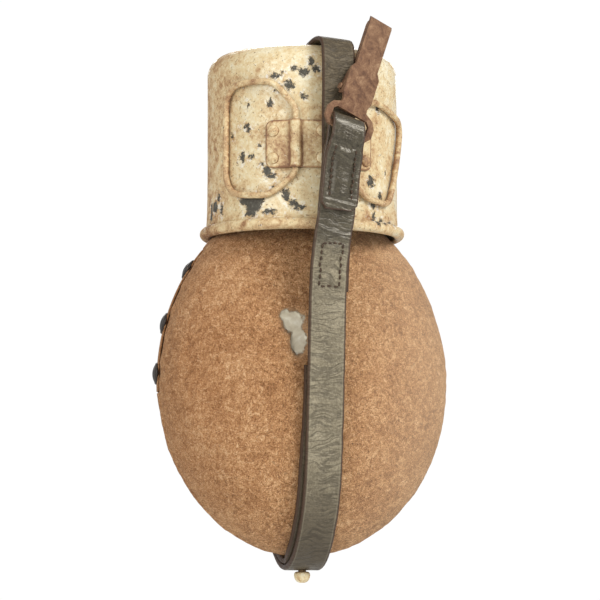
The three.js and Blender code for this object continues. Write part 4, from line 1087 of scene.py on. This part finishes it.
def carrying_strap():
    """One strip of leather from the buckle, under the flask and up the back to the hook's loop."""
    fold = BUCKLE_WIRE + 0.3 + LEATHER / 2
    points = [(46.6, 96.5), (46.9, 104), (49.4, 112)]
    points += around_fold(BUCKLE_Y, BUCKLE_Z, fold, 0, 180)
    points += [(44.1, 108), (43.7, 98)]
    points += along_belly(1, 4, 90, 12) + along_belly(-1, 83, 12, 11)
    points += [(strap_out(102), 102), (strap_out(125), 125), (STRAP_BACK, 148)]
    path = flat_path(points, lambda y, z: strap_shift(z) if y < 0 else 0.0)
    length = np.linalg.norm(np.diff(path, axis=0), axis=1).sum()

    def strength(along):
        from_top = length - along
        patch = smooth(8.0, 11.0, from_top) * smooth(32.0, 29.0, from_top)
        return 1.0 + 8.0 * smooth(14.0, 8.0, from_top) - 0.8 * patch

    def relief(along, across, side):
        from_top = length - along
        patch = smooth(11.0, 13.5, from_top) * smooth(31.0, 28.5, from_top) * (side < 0)
        groove = 0.2 * smooth(1.0, 0.2, np.abs(np.abs(across) - 4.6))
        return creased(along, across, side) + patch * (0.45 * smooth(4.2, 2.8, np.abs(across)) - groove)

    creased = creases(strength, 2.7)
    low = ribbon_rows(path, (1.0, 0.0, 0.0), STRAP_WIDTH, relief)
    high = loop_rows(low[3][-1] + 0.6)
    rows = [np.concatenate([a, b]) for a, b in zip(low, high)]
    ease_join(rows[0], len(low[0]), 5)
    foot, clear = LOOP_BEND
    nodes = ("carrying_strap", "hook_loop")
    bends = ("loop", foot, clear)
    polish = smooth(length - 19.0, length - 6.0, rows[3]) * 0.95
    return ribbon_piece("strap_long", rows, "flask", nodes, STRAP_LOOK, bends, polish)


def ease_join(points, seam, reach):
    """Smooths the rows of points on both sides of a seam, in place."""
    for _ in range(12):
        for i in range(seam - reach, seam + reach):
            points[i] = (points[i - 1] + 2 * points[i] + points[i + 1]) / 4


def closing_strap():
    corner = 8.5
    back, front, crown = CLOSING_BACK, CLOSING_FRONT, CLOSING_CROWN
    points = [(-44.1, 116), (-48.5, 144), (back, 153), (back, 185)]
    points += around_fold(back + corner, crown - corner, corner, 180, 90, 2)
    points += [(-20, crown - 0.2), (20, crown - 0.2)]
    points += around_fold(front - corner, crown - corner, corner, 90, 0, 2)
    points += [(front, 185), (front, 150), (front, 140), (49.3, 134), (51.3, 127), (53.3, 118)]
    points += [(52.6, 111.5), (50, 104), (49.4, 97), (48.4, 85)]

    def shift(y, z):
        behind = 1.7 * float(smooth(168.0, 140.0, z)) if y < 0 else 0.0
        return 2.9 * min(1.0, max(0.0, (40 - y) / 80)) - behind

    path = flat_path(points, shift)
    relief = creases(lambda along: 0.8 + 0 * along, 6.1)
    rows = ribbon_rows(path, (-1.0, 0.0, 0.0), CLOSING_WIDTH, relief, CLOSING_LEATHER)
    points, uv = rows[:2]
    at_corner = smooth(-22.0, -36.0, points[..., 1]) * smooth(crown - 14.0, crown - 4.0, points[..., 2])
    points[..., 2] += at_corner * (0.09 * uv[..., 0] + 0.25)
    piece = ribbon_piece("strap_over_cup", rows, "flask", ("closing_strap",), CLOSING_LOOK)
    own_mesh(piece)


def base_patch():
    """The inner layer of leather under the stud, long on the back and short on the front. Up the back its
    dark edge shows beside the carrying strap: partly the real inner layer, partly painted shade.
    """
    points = [on_belly(-1, rad(a), HUG) for a in np.linspace(-4, 88, 14)]
    points += [on_belly(1, rad(a), HUG) for a in np.linspace(84, 56, 5)]

    # Lower down the patch lies further to the left, so that more of its dark edge shows beside the strap as
    # painted shade.
    def shift(y, z):
        shown = float(smooth(84.0, 30.0, z))
        return (strap_shift(z) - 0.4 - 1.5 * shown) * min(1.0, -y / 12) if y < 0 else 0.0

    path = flat_path(points, shift)
    rows = ribbon_rows(path, (-1.0, 0.0, 0.0), STRAP_WIDTH)
    ribbon_piece("strap_base_patch", rows, "flask", ("base_patch",), CLOSING_LOOK)


def loop_frame():
    """The matrix that leans the hook's leather loop about its foot, in mm."""
    place = Matrix.Translation((LOOP_SHIFT, STRAP_BACK, LOOP_FOOT))
    return place @ Matrix.Rotation(rad(LOOP_LEAN), 4, "Y") @ Matrix.Rotation(rad(LOOP_STAND_OFF), 4, "X")

def keeper():
    """The leather band that holds the closing strap's tail against the carrying strap."""
    half, middle, pitch, wall = 3.25, 99.25, 0.8, 0.75
    right = [(9.6, 40.9), (10.4, 41.8), (10.4, 52.0), (9.6, 52.9)]
    outer = [(-9.6, 40.9)] + right + [(-x, y) for x, y in right[:0:-1]]
    corners = np.array([(x * 0.995, y, middle) for x, y in outer])
    ring = resample(np.vstack([corners, corners[:1]]), pitch)[0][:-1]
    inward = np.array([0.0, 46.9, middle]) - ring
    inward[:, 2] = 0
    inward /= np.linalg.norm(inward, axis=1, keepdims=True)
    turn = np.linspace(0, 2 * math.pi, 16, endpoint=False)
    flat = np.column_stack([np.cos(turn), np.sin(turn)])
    section = np.copysign(np.abs(flat) ** 0.5, flat) * (wall, half)
    points = ring[:, None, :] + inward[:, None, :] * (wall + section[None, :, 0:1])
    points = points + np.array([0, 0, 1.0]) * section[None, :, 1:2]
    rows, columns = points.shape[:2]
    faces = grid_faces(rows, columns, wrap_rows=True, wrap_columns=True)
    uv = np.column_stack([np.tile(section[:, 1], rows), np.repeat(np.arange(rows) * pitch, columns)])
    edge = np.tile(smooth(half - 1, half, np.abs(section[:, 1])), rows)
    name, nodes, values = "strap_keeper_band", ("strap_keeper",), {"edge": edge}
    add_piece(name, points.reshape(-1, 3), faces, "flask", nodes, STRAP_LOOK, uv, values)


# ---------- stud ----------
def stud():
    foot, neck = -STUD_DROP, 1.8
    profile = [(0.0, foot), (1.2, foot), (2.3, -11.05), (3.05, -10.2), (3.5, -9.2), (3.68, -8.3), (3.6, -7.4)]
    profile += [(3.2, -6.75), (2.4, -6.45), (neck, -6.4), (neck, 3.0), (0.0, 3.0)]
    points, faces = lathe(profile, 40)
    nodes, values = ("bottom_stud",), {"edge": smooth(-7.6, -6.4, points[:, 2])}
    add_piece("stud_knob", points, faces, "flask", nodes, STUD_LOOK, values=values)


# ---------- buckle ----------
def buckle_matrix():
    return Matrix.Translation((0, BUCKLE_Y, BUCKLE_Z)) @ Matrix.Rotation(rad(-14), 4, "X")


def buckle():
    half, reach, corner = 10.4, 18.55, 2.2
    path = []
    side, high = half - corner, reach - corner
    for cx, cz, start in ((side, corner, -90), (side, high, 0), (-side, high, 90), (-side, corner, 180)):
        path += [(x, 0.0, z) for x, z in around_fold(cx, cz, corner, start, start + 90, 7)]
    path = np.array(path)
    ring = resample(np.vstack([path, path[:1]]), 0.7)[0][:-1]
    points, faces = tube(ring, BUCKLE_WIRE, 14, closed=True)
    points = placed(points, buckle_matrix())
    add_piece("buckle_ring", points, faces, "buckle", ("buckle_frame",), RUST_LOOK)
    eye = [(0.0, 2.15 * math.cos(a), 2.15 * math.sin(a)) for a in np.radians(np.linspace(-200, 40, 24))]
    tongue = [(0.0, 2.35, 5.0), (0.0, 2.5, 10.0), (0.0, 2.85, 16.0), (0.0, 3.1, 20.6)]
    path = resample(spline(eye + tongue, 6), 0.5)[0]
    taper = np.interp(np.linspace(0, 1, len(path)), [0, 0.3, 0.9, 1], [0.8, 0.8, 1.05, 0.55])
    points, faces = tube(path, taper, 14)
    points = placed(points, buckle_matrix())
    add_piece("buckle_tongue", points, faces, "prong", ("buckle_prong",), RUST_LOOK)


# ---------- stitching ----------
def stitch_run(start, end):
    """Middle points and directions of stitches between two (along, across) corners."""
    pitch, length = 2.6, 1.9
    start, end = np.array(start, float), np.array(end, float)
    total = np.linalg.norm(end - start)
    count = max(1, int(round(total / pitch)))
    way = (end - start) / total
    return [(start + way * total * (i + 0.5) / count, way * length / 2) for i in range(count)]


def thread(points_on):
    """One closed capsule of thread along a few points."""
    path = resample(np.array(points_on), 0.35)[0]
    ends = np.minimum(np.arange(len(path)), np.arange(len(path))[::-1])
    return tube(path, 0.44 * np.interp(ends, [0, 1, 2], [0.45, 0.9, 1.0]), 7)


def stitches(name, runs, place, seed, wander, bends=None):
    """Thread along runs between (along, across) corners, on the leather where place puts it."""
    rng = random.Random(seed)
    parts = []
    for start, end in runs:
        for middle, half in stitch_run(start, end):
            shift = [rng.uniform(-most, most) for most in wander]
            ends = [np.array(place(*(middle + half * s + shift))) for s in (-1, 0, 1)]
            parts.append(thread([p - (0, proud, 0) for p, proud in zip(ends, (-0.3, 0.18, -0.3))]))
    points, faces = joined(parts)
    add_piece(name, points, faces, "flask", (), THREAD_LOOK, bends=bends)


def patch_stitches():
    """The rectangle sewn through the carrying strap and the closing strap behind it."""

    def on_strap(along, across):
        return (strap_shift(along) + across, strap_out(along) - LEATHER / 2 - 0.16, along)

    corners = [(117.5, -4.4), (117.5, 4.6), (136.5, 5.0), (136.5, -4.6)]
    stitches("stitches_patch", zip(corners, corners[1:] + corners[:1]), on_strap, 11, (0.25, 0.3))


def loop_stitches():
    """Two rows up the front of the loop."""

    def on_loop(height, across):
        x = across_loop(across, height)
        y = -float(np.interp(height, *zip(*LOOP_FRONT))) - LEATHER / 2 + 0.15
        return placed(np.array([x, y, height - loop_slant(x, height)]), loop_frame())

    runs = [((7.0, across), (29.5, across)) for across in (-5.1, 5.1)]
    stitches("stitches_loop", runs, on_loop, 12, (0.2, 0.25), ("loop", *LOOP_BEND))


# ---------- carried-over nodes ----------
def dress(node, material):
    piece = frame["nodes"][node]
    piece.data.materials.clear()
    piece.data.materials.append(material)
    piece.data.polygons.foreach_set("use_smooth", [True] * len(piece.data.polygons))


# ---------- stage ----------
def stage():
    target = Vector((-0.0009, 0.0002, 0.1281))
    azimuth, elevation, distance = rad(-15.6), rad(-6.0), 1.5
    level = math.cos(elevation)
    back = Vector((math.sin(azimuth) * level, -math.cos(azimuth) * level, math.sin(elevation)))
    camera_data = bpy.data.cameras.new("camera")
    camera_data.lens, camera_data.sensor_width = 198.0, 36.0
    camera = linked("camera", camera_data)
    camera.location = target + back * distance
    camera.rotation_euler = (-back).to_track_quat("-Z", "Y").to_euler()
    bpy.context.scene.camera = camera

    floor_mesh = bpy.data.meshes.new("floor")
    corners = [(x, y, -0.3) for x, y in ((-3, -3), (3, -3), (3, 3), (-3, 3))]
    floor_mesh.from_pydata(corners, [], [(0, 1, 2, 3)])
    floor_mesh.materials.append(Nodes("pale_floor").finish(Base_Color=(0.82, 0.82, 0.81), Roughness=0.9))
    linked("floor", floor_mesh)

    def soft_light(name, place, size, power):
        data = bpy.data.lights.new(name, "AREA")
        data.size, data.energy = size, power
        light = linked(name, data)
        light.location = Vector(place)
        light.rotation_euler = (Vector((0, 0, 0.13)) - light.location).to_track_quat("-Z", "Y").to_euler()

    soft_light("key", (0.75, -1.3, 0.95), 0.7, 21.0)
    soft_light("fill", (-1.2, -1.0, 0.5), 1.0, 9.0)
    soft_light("behind", (0.3, 1.4, 0.9), 0.9, 10.0)

    world = bpy.data.worlds.new("studio")
    bpy.context.scene.world = world
    world.use_nodes = True
    tree = world.node_tree
    shown = tree.nodes["Background"]
    shown.inputs[0].default_value = (1, 1, 1, 1)
    path = tree.nodes.new("ShaderNodeLightPath")
    strength = tree.nodes.new("ShaderNodeMix")
    strength.inputs[2].default_value = 0.56
    strength.inputs[3].default_value = 1.02
    tree.links.new(path.outputs["Is Camera Ray"], strength.inputs[0])
    tree.links.new(strength.outputs[0], shown.inputs[1])
    bpy.context.scene.view_settings.view_transform = "Standard"


# ---------- assembly ----------
felt_panel("felt_back", "felt_back_panel", front=False)
felt_panel("felt_front", "felt_front_panel", front=True)
cover_flap()
snaps()
cup()
bracket()
rivets()
cup_handle("wire_handle_left", "handle_left", "left_handle", LEFT_HANDLE)
cup_handle("wire_handle_right", "handle_right", "right_handle", RIGHT_HANDLE)
carrying_strap()
closing_strap()
base_patch()
keeper()
stud()
buckle()
patch_stitches()
loop_stitches()
HOOK_PARTS = (("hook_body", "plate", 0.35), ("hook_gate", "leaf", 0.2), ("gate_pin", "pin", 0.1))
HOOK_PARTS += (("gate_spring", "spring", 0.02),)
for node, part, bevel in HOOK_PARTS:
    refined(f"hook_{part}", node, bevel, RUST_LOOK, HOOK_OFFSET)
refined("cap_shell", "screw_cap", 0.4, METAL_LOOK)
refined("cap_strip", "cap_bridge", 0.25, METAL_LOOK)
for carried in ("flask", "stud_washer"):
    dress(carried, METAL_LOOK)
dress("cap_gasket", RUBBER_LOOK)
for i in (1, 2, 3):
    dress(f"snap_stud_{i}", LACQUER_LOOK)
stage()
